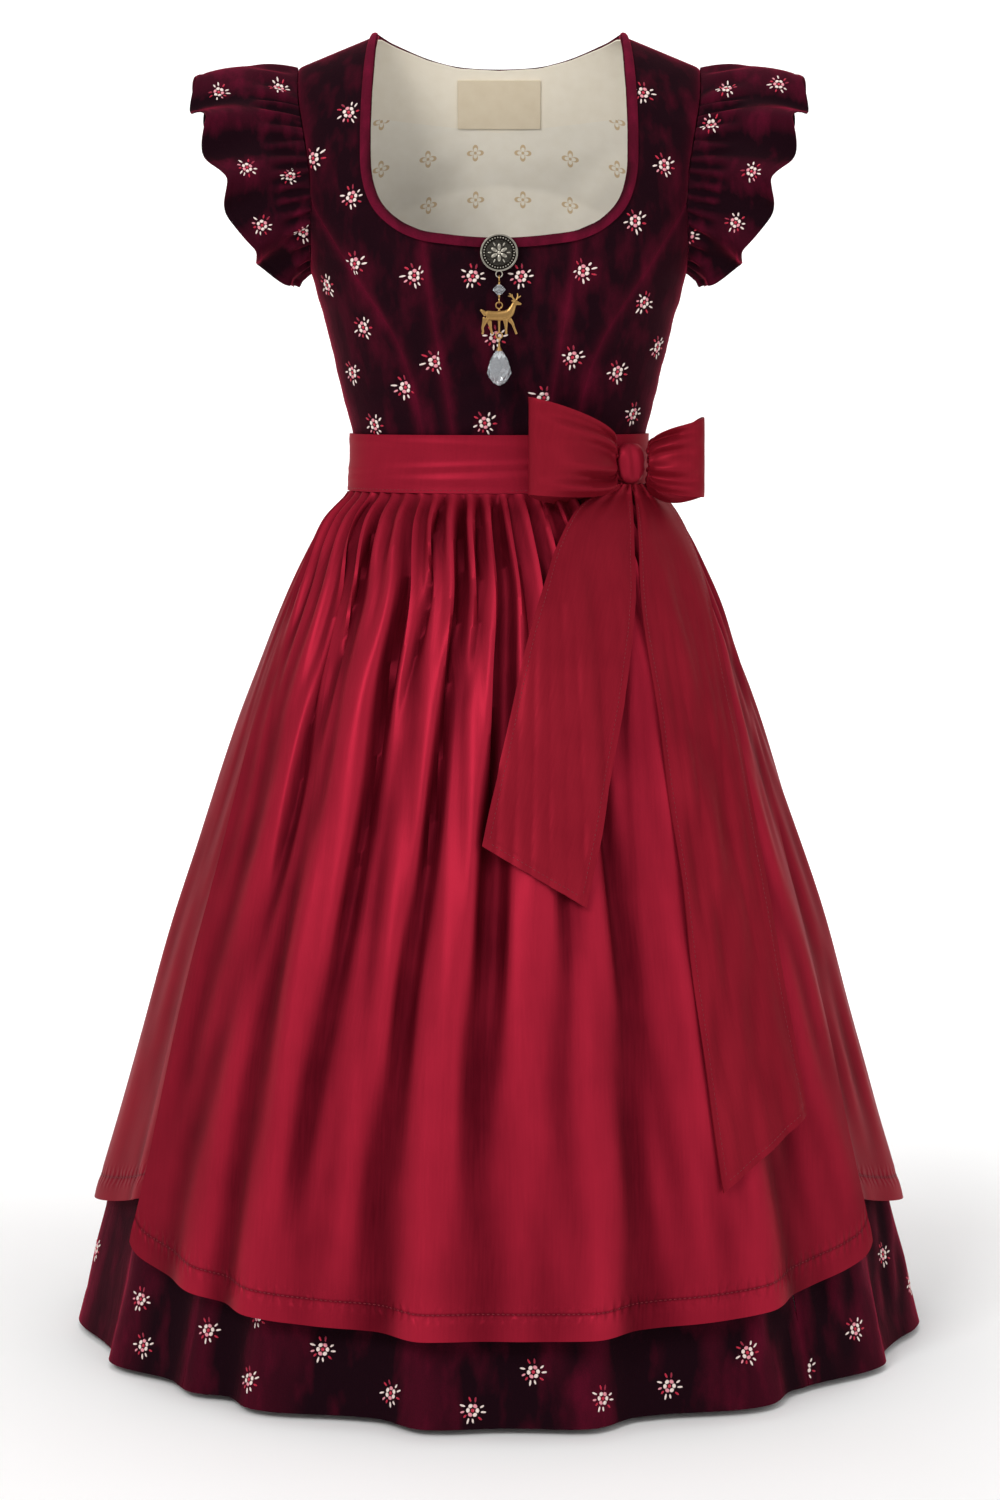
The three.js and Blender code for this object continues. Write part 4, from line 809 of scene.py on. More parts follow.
@dataclass(frozen=True)
class MattPaper:
    """Pale studio paper of the floor and backdrop, nearly even, with a soft mottle."""

    name: str = "studio_paper_pale"

    def make(self) -> bpy.types.Material:
        """Builds the material with a 300 mm mottle."""
        nodes = Nodes(self.name)
        place = nodes.add("TexCoord", out="Object")
        mottle = nodes.add("TexNoise", {"Vector": place, "Scale": 1 / 0.3, "Detail": 2.0})
        colour = nodes.add("Mix", {0: mottle, 6: srgb("ffffff"), 7: srgb("fbfbfa")}, 2, data_type="RGBA")
        return nodes.finish(Base_Color=colour, Roughness=0.95, Specular_IOR_Level=0.1)


class Finishes:
    """The garment's finishes, each made once."""

    def __init__(self) -> None:
        """Makes every material."""
        self.velvet = CottonVelvet().make()
        self.ruffle_velvet = CottonVelvet("cotton_velvet_ruffle", lit="6c0c2c", crush_mm=15.0,
                                          painted_crest_light=0.26).make()
        self.satin = WineSatin().make()
        self.apron = WineSatin("duchesse_satin_hemmed", hem_mm=HEM).make()
        self.ribbon = WineSatin("duchesse_satin_ribbon", "5a0816", "98202f", painted_crest_light=0.16).make()
        self.binding = CottonVelvet("velvet_binding", "22040d", "6e0e2c", crush_mm=12.0).make()
        self.knot = WineSatin("duchesse_satin_knot", "6a0c1e", "a62436").make()
        self.lining = PlainCotton("cotton_lining_printed", "f8f1e2", "eee5d2", "c9a56d").make()
        self.facing = PlainCotton("cotton_facing_cream", "faf1df", "f0e5cf").make()
        self.label = PlainCotton("woven_label_beige", "e8dac0", "dccbae").make()
        self.silver = Metal("oxidised_silver", "c2bcae", "1c1916", 0.28, 0.9).make()
        self.gold = Metal("gilt_brass", "cda365", "54371a", 0.24, 0.5).make()
        self.crystal = CutGlass().make()
        self.sewing = Thread("sewing_thread_wine", "7d1020").make()
        self.embroidery = Thread("embroidery_floss").make()


class Cloth:
    """One cloth piece: a grid of points over its sheet, which becomes a thin shell."""

    def __init__(self, name: str, points: Array, wall: float, ring: bool = False,
                 outward: tuple[float, ...] | None = None, hem_first: bool = False) -> None:
        """Keeps the grid and turns its faces outwards.

        Args:
            name: the piece's name.
            points: rows by columns by 3, in millimetres.
            wall: cloth thickness.
            ring: whether the columns close on themselves.
            outward: a rough outward direction at the grid's middle; by default away from the body's axis.
            hem_first: whether the first row is the lower edge.
        """
        self.name, self.points, self.wall, self.ring = name, points, wall, ring
        self.hem_first = hem_first
        rows, columns = points.shape[:2]
        middle = points[rows // 2, columns // 2]
        normal = self.normals()[rows // 2, columns // 2]
        reference = np.array([middle[0], middle[1], 0]) if outward is None else np.asarray(outward, float)
        self.turn = 1 if normal @ reference > 0 else -1

    def differences(self) -> tuple[Array, Array]:
        """Steps of the grid across and down at every point."""
        if self.ring:
            across = np.roll(self.points, -1, axis=1) - np.roll(self.points, 1, axis=1)
        else:
            across = np.gradient(self.points, axis=1)
        return across, np.gradient(self.points, axis=0)

    def normals(self) -> Array:
        """Unit normals, not yet turned outwards."""
        across, down = self.differences()
        return unit(np.cross(across, down))

    def outward(self) -> Array:
        """Unit normals that face away from the body."""
        return self.normals() * self.turn

    def lay(self) -> Array:
        """Distances in millimetres along the cloth, across from its middle and up from its lower edge."""
        steps = np.linalg.norm(np.diff(self.points, axis=1), axis=2)
        across = np.concatenate([np.zeros((len(steps), 1)), np.cumsum(steps, axis=1)], axis=1)
        across -= across[:, -1:] / 2
        rises = np.linalg.norm(np.diff(self.points, axis=0), axis=2)
        up = np.concatenate([np.zeros((1, rises.shape[1])), np.cumsum(rises, axis=0)], axis=0)
        if not self.hem_first:
            up = up[-1:] - up
        return np.stack([across, up], axis=-1)

    def from_side(self) -> Array:
        """Distance in millimetres of each point from the nearer side edge."""
        across = np.abs(self.lay()[..., 0])
        return across[:, :1] - across

    def raise_by(self, height: Array) -> "Cloth":
        """Moves the surface outwards by height millimetres at each point."""
        self.points = self.points + self.outward() * np.broadcast_to(height, self.points.shape[:2])[..., None]
        return self

    def crest(self, depth: float = 2.2) -> Array:
        """How far each point stands above the cloth round it: -1 in a valley, 1 on a crest."""
        reach = max(3, self.points.shape[1] // 26)
        if self.ring:
            wide = np.concatenate([self.points[:, -reach:], self.points, self.points[:, :reach]], axis=1)
        else:
            wide = np.pad(self.points, ((0, 0), (reach, reach), (0, 0)), mode="edge")
        count = self.points.shape[1]
        around = sum(wide[:, k:k + count] for k in range(2 * reach + 1)) / (2 * reach + 1)
        level = ((self.points - around) * self.outward()).sum(axis=2)
        if not self.ring:
            inside = np.minimum(np.arange(count), np.arange(count)[::-1]) / reach
            level = level * np.clip(inside, 0, 1)
        return np.tanh(level / depth)

    def roll_edges(self, depth: float, width: float, lap: float = 0.25) -> "Cloth":
        """Turns the two side edges in, as a pressed seam does, and laps them under their neighbours.

        Args:
            depth: how far the edge sinks.
            width: how wide the turn is.
            lap: how far the edge runs on under the next piece.

        Returns:
            The cloth.
        """
        self.raise_by(-depth * np.exp(-self.from_side() / width))
        for edge, inner in ((0, 1), (-1, -2)):
            self.points[:, edge] += lap * unit(self.points[:, edge] - self.points[:, inner])
        return self

    def cut(self) -> tuple[float, float, float]:
        """Width, length and area of the cloth, in metres and square metres."""
        points = self.points
        if self.ring:
            points = np.concatenate([points, points[:, :1]], axis=1)
        width, length = (
            np.linalg.norm(np.diff(points, axis=k), axis=2).sum(axis=k).max() * MM for k in (1, 0)
        )
        a, b = points[1:, 1:] - points[:-1, :-1], points[:-1, 1:] - points[1:, :-1]
        return width, length, np.linalg.norm(np.cross(a, b), axis=2).sum() / 2 * MM * MM

    def sample(self, u: float, v: float) -> Vector:
        """Point in millimetres at fractional column u and row v of the grid."""
        rows, columns = self.points.shape[:2]
        i, j = min(int(v), rows - 2), min(int(u), columns - 2)
        s, t = u - j, v - i
        p = self.points
        low = p[i, j] * (1 - s) + p[i, j + 1] * s
        high = p[i + 1, j] * (1 - s) + p[i + 1, j + 1] * s
        return Vector(low * (1 - t) + high * t)

    def build(self, finish: bpy.types.Material, slot: str, held: Held, rests_on: str = "",
              rectangle: bool = False) -> bpy.types.Object:
        """Args:
            finish: the cloth's material.
            slot: the record's material slot.
            held: how it hangs; not used.
            rests_on: what it lies on or hangs from; not used.
            rectangle: whether it was cut as a rectangle; not used.

        Returns:
            The finished piece.
        """
        rows, columns = self.points.shape[:2]
        faces = []
        for i in range(rows - 1):
            for j in range(columns if self.ring else columns - 1):
                k = (j + 1) % columns
                quad = (i * columns + j, i * columns + k, (i + 1) * columns + k, (i + 1) * columns + j)
                faces.append(quad if self.turn > 0 else quad[::-1])
        mesh = bpy.data.meshes.new(self.name)
        mesh.from_pydata((self.points.reshape(-1, 3) * MM).tolist(), [], faces)
        lay = self.lay().reshape(-1, 2) * MM
        loops = np.zeros(len(mesh.loops), dtype=np.int32)
        mesh.loops.foreach_get("vertex_index", loops)
        mesh.uv_layers.new(name="lay").data.foreach_set("uv", lay[loops].astype(np.float32).ravel())
        # crest and edge carry the painted highlight and shade that the velvet and satin colours take from fold
        # crests, valleys and seams
        edge = np.full((rows, columns), 0.7) if self.ring else np.exp(-self.from_side() / 4.0)
        for label, values in (("crest", self.crest()), ("edge", edge)):
            carried = mesh.attributes.new(label, "FLOAT", "POINT")
            carried.data.foreach_set("value", values.astype(np.float32).ravel())
        mesh.materials.append(finish)
        piece = new_piece(self.name, mesh)
        select_only(piece)
        apply_modifier(piece, "SOLIDIFY", thickness=self.wall * MM, offset=-1.0)
        bpy.ops.object.shade_smooth_by_angle(angle=math.radians(50))
        place_piece(piece, "dress", slot, self.name)
        width, length, area = self.cut()
        log.info("%s: cut %.3f x %.3f m, area %.4f", self.name, width, length, area)
        return piece


def new_piece(name: str, data: bpy.types.ID) -> bpy.types.Object:
    """Puts new data into the scene as an object."""
    piece = bpy.data.objects.new(name, data)
    bpy.context.scene.collection.objects.link(piece)
    return piece


def select_only(*pieces: bpy.types.Object) -> None:
    """Selects these pieces alone; the first is the active one."""
    bpy.ops.object.select_all(action="DESELECT")
    for piece in pieces:
        piece.select_set(True)
    bpy.context.view_layer.objects.active = pieces[0]


def add_primitive(operator: Callable, **settings: object) -> bpy.types.Object:
    """Adds a primitive with nothing else selected."""
    bpy.ops.object.select_all(action="DESELECT")
    operator(**settings)
    return bpy.context.object


def apply_modifier(piece: bpy.types.Object, kind: str, **settings: object) -> None:
    """Adds a modifier with its settings to the active piece and applies it."""
    modifier = piece.modifiers.new(kind.lower(), kind)
    for key, value in settings.items():
        setattr(modifier, key, value)
    bpy.ops.object.modifier_apply(modifier=modifier.name)


def edit_all(piece: bpy.types.Object, *operators: Callable) -> None:
    """Runs edit-mode operators on all of a piece, and turns its faces outwards."""
    select_only(piece)
    bpy.ops.object.mode_set(mode="EDIT")
    bpy.ops.mesh.select_all(action="SELECT")
    for operator in operators:
        operator()
    bpy.ops.mesh.normals_make_consistent(inside=False)
    bpy.ops.object.mode_set(mode="OBJECT")


def place_piece(piece: bpy.types.Object, body: str, slot: str, node: str = "") -> None:
    """Puts a piece on its body, hides the solid that it stands for where one is named, and reports its face count.
    """
    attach(piece, body)
    if node:
        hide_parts(node)
    log.info("%s: %d faces", piece.name, len(piece.data.polygons))


def even(count: int) -> Array:
    """Count + 1 places from 0 to 1."""
    return np.linspace(0.0, 1.0, count + 1)


def seam_places(count: int, margin: float = 0.0) -> Array:
    """Places across a panel, closer together near its seams, with a margin for the seam's gap."""
    t = even(count)
    return lerp(margin, 1 - margin, lerp(t, 0.5 - 0.5 * np.cos(math.pi * t), 0.7))


@dataclass
class Bodice:
    """Nine velvet panels, from the front's middle round to the back's."""

    finishes: Finishes
    columns: int = 46
    seam_depth: float = 1.0
    seam_width: float = 2.0
    pucker: float = 0.35
    crease: float = 0.5
    clearance: float = 1.3
    pieces: dict[str, Cloth] = field(default_factory=dict)

    def panels(self) -> list[tuple[str, Sheet, int]]:
        """Names, sheets and row counts of the panels."""
        made = [("bodice_front_center", front_centre_sheet, 60)]
        for hand in Hand:
            side, mirror = hand.name.lower(), hand.value
            made += [
                (f"bodice_front_{side}", panel_sheet(Face.FRONT, mirror), 180),
                (f"bodice_side_front_{side}", side_sheet(Face.FRONT, mirror), 64),
                (f"bodice_side_back_{side}", side_sheet(Face.BACK, mirror), 64),
                (f"bodice_back_{side}", panel_sheet(Face.BACK, mirror), 110),
            ]
        return made

    def build(self) -> None:
        """Builds every panel with pressed seams, light puckers beside them and soft creases."""
        for seed, (name, sheet, rows) in enumerate(self.panels()):
            cloth = Cloth(name, sheet(seam_places(self.columns), even(rows)), BODICE_WALL, hem_first=True)
            x, z, edge = cloth.points[..., 0], cloth.points[..., 2], cloth.from_side()
            pucker = ripple(z, cloth.lay()[..., 0], seed, (11.0, 60.0)) * bell(edge, 9.0) * self.pucker
            soft = ripple(x, z, seed + 40, (70.0, 34.0)) * self.crease
            calm = np.clip(edge / 8, 0, 1) * np.clip((shoulder_z(x) - z) / 30, 0, 1)
            back_off = self.clearance if name == "bodice_front_center" else 0.0
            cloth.raise_by((pucker + soft - back_off) * calm).roll_edges(self.seam_depth, self.seam_width)
            cloth.build(self.finishes.velvet, "velvet", Held.STRETCHED)
            self.pieces[name] = cloth


@dataclass
class Linings:
    """Printed lining, cream facing and a bare label inside the back."""

    finishes: Finishes
    columns: int = 80
    label_width: float = 80.0
    label_top: float = -20.0
    label_bottom: float = -65.0

    def build(self) -> None:
        """Builds the three layers, each behind the one before."""
        lift = -(BODICE_WALL + LAY_GAP)
        rows = len(CENTRE_BACK_Z) + len(BACK_STRAP)
        start = rows - FACING_ROWS
        across = np.linspace(-0.992, 0.992, self.columns + 1)
        under, top = (
            Cloth(name, panel_sheet(Face.BACK, 1, part)(across, even(count)), LINING_WALL, hem_first=True)
            for name, part, count in (
                ("lining_back", slice(0, start + 1), 70), ("facing_back", slice(start, rows), 40),
            )
        )
        under.raise_by(lift)
        x, z = under.points[..., 0], under.points[..., 2]
        under.raise_by(-0.9 * np.clip((-75 - z) / 20, 0, 1) * (1 + ripple(x, z, 5, (60.0, 90.0))))
        under.build(self.finishes.lining, "lining", Held.STRETCHED, "bodice_back_left")
        top.raise_by(lift).build(self.finishes.facing, "facing", Held.STRETCHED, "bodice_back_left")
        half = self.label_width / 2
        x, z = np.meshgrid(np.linspace(-half, half, 41), np.linspace(self.label_bottom, self.label_top, 25))
        label = Cloth("neck_label", torso_at(x, z, Face.BACK), LINING_WALL, hem_first=True)
        label.raise_by(lift - LINING_WALL - LAY_GAP)
        label.build(self.finishes.label, "label", Held.STRETCHED, "facing_back", rectangle=True)


@dataclass
class Trims:
    """Neck binding and the apron's waistband."""

    finishes: Finishes
    band_columns: int = 260
    band_rows: int = 26
    creases: tuple[tuple[float, float, float, float], ...] = (
        (-0.28, 0.10, 0.07, 1.5), (-0.05, -0.13, 0.06, 1.7), (0.2, -0.06, 0.08, 1.3), (0.34, 0.05, 0.05, 1.0),
    )

    def band_points(self, u: Array, v: Array) -> Array:
        """Points of the waistband, without its creases."""
        z = lerp(BAND_TOP_Z, BAND_BOTTOM_Z, v)[:, None]
        a = 2 * math.pi * u[None, :]
        x = BAND.at("width", z) * signed_power(np.sin(a), 0.95)
        y = -BAND.at("depth", z) * signed_power(np.cos(a), 0.95)
        return np.stack(np.broadcast_arrays(x, y, z), axis=-1)

    def build(self) -> None:
        """Builds the binding as a soft roll, and the band with long soft creases that run to the knot."""
        around = np.arange(320) / 320
        across = even(8)
        binding = Cloth("neck_binding", binding_sheet(around, across), TRIM_WALL, ring=True, outward=(0, 1, 0))
        crown = 1.7 * np.sin(math.pi * across)[:, None] ** 0.6
        binding.raise_by(LAY_GAP + TRIM_WALL + 0.2 + crown)
        binding.build(self.finishes.binding, "binding", Held.FOLDED, "bodice_front_center")
        u, v = np.arange(self.band_columns) / self.band_columns, even(self.band_rows)
        band = Cloth("waistband", self.band_points(u, v), BAND_WALL, ring=True)
        away = band.points[..., 0] - KNOT_X
        fan = (v[:, None] - 0.5) * (1 + 0.5 * np.exp(-np.abs(away) / 60))
        run = np.clip(away / 200, -1.6, 1)
        creases = sum(
            bell(fan - (start + slope * run), width) * tall * (0.75 + 0.25 * np.cos(away / 37 + k))
            for k, (start, slope, width, tall) in enumerate(self.creases)
        )
        front = np.clip(-band.points[..., 1] / 30, 0, 1)
        hold = np.sin(math.pi * v)[:, None] ** 0.5
        band.raise_by((creases - 0.3) * hold * (0.35 + 0.65 * front))
        band.build(self.finishes.satin, "satin", Held.FOLDED, "apron")
        self.band = band


@dataclass
class Sleeves:
    """Gathered ruffle sleeves round the armholes."""

    finishes: Finishes
    columns: int = 300
    rows: int = 36
    waves: int = 9
    wave_height: float = 10.0
    scallop: float = 6.0
    start: float = 0.95
    gather_end: float = 0.38
    puff: float = 5.0
    pieces: dict[str, Cloth] = field(default_factory=dict)

    def seam_point(self, face: Face, place: float | None, x: float, z: float | None, drop: float) -> Array:
        """Point of the armhole seam where a ruffle row starts."""
        if place is None:
            return torso_at(x, shoulder_z(x) - drop if z is None else z, face)
        return side_sheet(face, 1)(np.array([place]), np.array([1.0]))[0, 0]

    def points(self, mirror: int) -> Array:
        """Points of one ruffle, from its seam to its free edge."""
        u, v = even(self.columns), even(self.rows)[:, None, None]
        faces = {"F": Face.FRONT, "B": Face.BACK}
        seams = np.array([self.seam_point(faces[face], *row) for face, *row in (r[:5] for r in RUFFLE)])
        edges = np.array([row[-3:] for row in RUFFLE], dtype=float)
        seam, edge = centripetal(seams, u), centripetal(edges, u)
        tangent = unit(centripetal(edges, u + 1e-4) - centripetal(edges, u - 1e-4))
        reach = edge - seam
        out = unit(reach)
        far = np.linalg.norm(reach, axis=1, keepdims=True)
        bow = unit(seam - np.array([-SHOULDER_HEIGHT, 0, -SHOULDER_HEIGHT])) * far * 0.1
        facing = unit(np.cross(tangent, reach))
        ends = np.minimum(1, 5 * np.sin(math.pi * u))[:, None]
        phase = 2 * math.pi * self.waves * u + 0.5 * np.sin(2 * math.pi * 2 * u) * ends[:, 0]
        near = np.sin(math.pi * np.minimum(v / self.gather_end, 1))
        fine = np.cos(2 * math.pi * 31 * u + 1.4 * np.sin(2 * math.pi * 4 * u))[:, None]
        finer = np.cos(2 * math.pi * 52 * u + 2.0 * np.sin(2 * math.pi * 5 * u))[:, None]
        gather = 1.7 * fine * near + 0.7 * finer * np.exp(-v / 0.1) + 0.9 * fine * np.exp(-v / 0.28) * (1 - v)
        lobe = (np.cos(0.5 * phase)[:, None] ** 2 + 0.05) ** 0.4
        wave = self.wave_height * np.cos(phase)[:, None] * v**1.2 * ends
        made = lerp(seam + out * self.start, edge, v) + bow * np.sin(math.pi * v)
        made[..., 2] += self.puff * np.sin(math.pi * v[..., 0] ** 0.8) * bell(u - 0.5, 0.13)
        made = made + facing * (wave + gather * ends) + out * self.scallop * (2 * lobe - 1.2) * v * v * ends
        made[..., 0] *= mirror
        return made

    def build(self) -> None:
        """Builds both ruffles with a narrow turned edge."""
        for hand in Hand:
            name = f"sleeve_ruffle_{hand.name.lower()}"
            cloth = Cloth(name, self.points(hand.value), VELVET_WALL, outward=(0.4 * hand.value, 0, 1))
            up = cloth.lay()[..., 1]
            cloth.raise_by(0.5 * bell(up - 3.0, 1.8) - 0.4 * bell(up - 7.5, 1.6))
            cloth.build(self.finishes.ruffle_velvet, "velvet", Held.GATHERED)
            self.pieces[name] = cloth


@dataclass
class Skirts:
    """Velvet skirt in four panels, satin layer in three, and the apron over both."""

    finishes: Finishes
    apron_valleys: tuple[tuple[float, ...], ...] = (
        (0.16, 0.13, 0.012, 7, -900), (0.30, 0.25, 0.013, 9, -1040), (0.405, 0.35, 0.011, 8, -1000),
        (0.475, 0.465, 0.018, 11, -1060), (0.545, 0.575, 0.010, 7, -900), (0.60, 0.66, 0.012, 8, -980),
        (0.215, 0.17, 0.008, 5, -640), (0.36, 0.31, 0.007, 5, -620), (0.44, 0.42, 0.007, 5, -600),
        (0.505, 0.515, 0.007, 5, -610), (0.575, 0.61, 0.007, 5, -600), (0.78, 0.80, 0.012, 6, -1000),
    )
    pieces: dict[str, Cloth] = field(default_factory=dict)

    def velvet_points(self, start: float, end: float, u: Array, v: Array) -> Array:
        """Points of a velvet panel between two azimuths."""
        z = lerp(VELVET_TOP_Z, VELVET_HEM_Z, v)[:, None]
        azimuth = lerp(start, end, u)[None, :]
        lift = fold_height(azimuth, z) - SKIRT.at("velvet_inset", z)
        return skirt_point(azimuth, z, lift + gather_wave(z, VELVET_GATHERS, u[None, :]))

    def satin_points(self, start: float | str, end: float | str, gathers: int, calm_end: float | None,
                     u: Array, v: Array) -> Array:
        """Points of a satin panel; an edge given as a name is steered by the table of open edges."""
        def steer(edge: float | str, z: Array) -> Array:
            if not isinstance(edge, str):
                return np.full_like(z, edge)
            return EDGES.at(edge, z) * (-1 if edge.endswith("left") else 1)

        guess = lerp(SKIRT_TOP_Z, SATIN_HEM_Z, v)[:, None]
        away = np.abs(lerp(steer(start, guess), steer(end, guess), u[None, :]))
        near = np.clip((86 - np.minimum(away, 360 - away)) / 27, 0, 1)
        z = lerp(SKIRT_TOP_Z, SATIN_HEM_Z + 34 * near**1.5, v[:, None])
        azimuth = lerp(steer(start, z), steer(end, z), u[None, :])
        calm = 1.0 if calm_end is None else np.clip(np.abs(u - calm_end) * 3, 0, 1)[None, :]
        return skirt_point(azimuth, z, fold_height(azimuth, z) + calm * gather_wave(z, gathers, u[None, :]))

    def apron_points(self, u: Array, v: Array) -> Array:
        """Points of the apron."""
        corner = np.abs(2 * u - 1)[None, :]
        hem = APRON_HEM_Z + 28 * corner**3 + 9 * corner**40
        z = lerp(SKIRT_TOP_Z, hem, v[:, None])
        azimuth = lerp(-EDGES.at("apron_left", z), EDGES.at("apron_right", z), u[None, :])
        return skirt_point(azimuth, z, apron_lift(azimuth, z) + gather_wave(z, APRON_GATHERS, u[None, :]))

    def fine_gathers(self, cloth: Cloth, count: int, u: Array, seed: int, tall: float) -> Array:
        """Uneven gathers that run on below the band, each to its own depth.

        Args:
            cloth: the gathered layer.
            count: how many gathers lie across it.
            u: the columns' places.
            seed: which pattern.
            tall: their height.

        Returns:
            Heights to raise the cloth by.
        """
        chance = np.random.default_rng(seed)
        knots = np.linspace(0, 1, count + 1)
        strength = np.interp(u, knots, chance.uniform(0.2, 1.0, count + 1))
        depth = np.interp(u, knots, chance.uniform(45, 170, count + 1))
        drift = np.interp(u, knots, chance.uniform(-0.8, 0.8, count + 1))
        z = cloth.points[..., 2]
        down = np.clip(SKIRT_TOP_Z - z, 0, None)
        wave = np.cos(2 * math.pi * count * u + math.pi / 3 + drift * (1 + down / 120))
        return tall * strength * signed_power(wave, 0.7) * np.clip(down / 14, 0.25, 1) * np.exp(-down / depth)

    def valleys(self, cloth: Cloth, u: Array) -> Array:
        """Depth of the apron's few deep folds, each from the band down to its own height."""
        z = cloth.points[..., 2]
        depth, start = 0.0, -412
        for top, bottom, width, deep, end in self.apron_valleys:
            fall = np.clip((start - z) / (start - end), 0, 1)
            near = bell(u - lerp(top, bottom, fall), width * (0.5 + 0.9 * fall))
            depth = depth + 1.3 * deep * near * np.sin(math.pi * fall**0.6)
        return depth

    def build(self) -> None:
        """Builds every layer, the inner ones first."""
        near, far, past = VELVET_SPLIT - PANEL_TURN, SATIN_SPLIT - PANEL_TURN, SATIN_SPLIT + PANEL_TURN
        for name, middle in (("front", 0), ("right", 90), ("back", 180), ("left", -90)):
            u, v = even(84), even(96) ** 0.9
            points = self.velvet_points(middle - near, middle + near, u, v)
            cloth = Cloth(f"velvet_skirt_{name}", points, VELVET_WALL)
            up = cloth.lay()[..., 1]
            hem = 0.5 * bell(up - 3, 3.0) - 0.5 * bell(up - 30, 2.5)
            soft = 1.3 * ripple(points[..., 0] + points[..., 1], points[..., 2], middle + 300, (60.0, 120.0))
            cloth.raise_by(soft * np.clip(up / 60, 0.2, 1) * np.clip((700 - up) / 300, 0, 1) + hem)
            self.hang(cloth.roll_edges(0.8, 2.0), self.finishes.velvet, "velvet")
        panels = (
            ("satin_side_right", "satin_right", far, SATIN_SIDE_GATHERS, 0.0, 90),
            ("satin_back", past, 360 - past, SATIN_BACK_GATHERS, None, 130),
            ("satin_side_left", -far, "satin_left", SATIN_SIDE_GATHERS, 1.0, 90),
        )
        for name, start, end, gathers, calm, columns in panels:
            u, v = even(columns), even(104) ** 1.15
            cloth = Cloth(name, self.satin_points(start, end, gathers, calm, u, v), SATIN_WALL)
            self.dress_satin(cloth, gathers * 2, u, len(name), 1.6)
            self.hang(cloth, self.finishes.apron, "satin")
        u, v = even(186), even(172) ** 1.25
        apron = Cloth("apron", self.apron_points(u, v), SATIN_WALL)
        self.dress_satin(apron, APRON_GATHERS, u, 23, 3.8)
        self.hang(apron.raise_by(-self.valleys(apron, u)), self.finishes.apron, "satin")

    def hang(self, cloth: Cloth, finish: bpy.types.Material, slot: str) -> None:
        """Builds a layer below the waistband and keeps it."""
        cloth.build(finish, slot, Held.GATHERED, "waistband")
        self.pieces[cloth.name] = cloth

    def dress_satin(self, cloth: Cloth, gathers: int, u: Array, seed: int, tall: float) -> None:
        """Adds uneven gathers, soft long creases and the turned hem to a satin layer."""
        points = cloth.points
        up = cloth.lay()[..., 1]
        around = np.degrees(np.arctan2(points[..., 0], -points[..., 1])) * 6
        down = np.clip(SKIRT_TOP_Z - points[..., 2], 0, None)
        soft = 1.5 * ripple(around, points[..., 2], seed + 7, (46.0, 420.0)) * np.clip(down / 160, 0, 1)
        hem = 0.7 * bell(up - HEM / 2, 9.0) - 0.6 * bell(up - HEM, 2.6)
        gathered = self.fine_gathers(cloth, gathers, u, seed, tall)
        cloth.raise_by(gathered + soft * np.clip(up / 120, 0.15, 1) + hem)


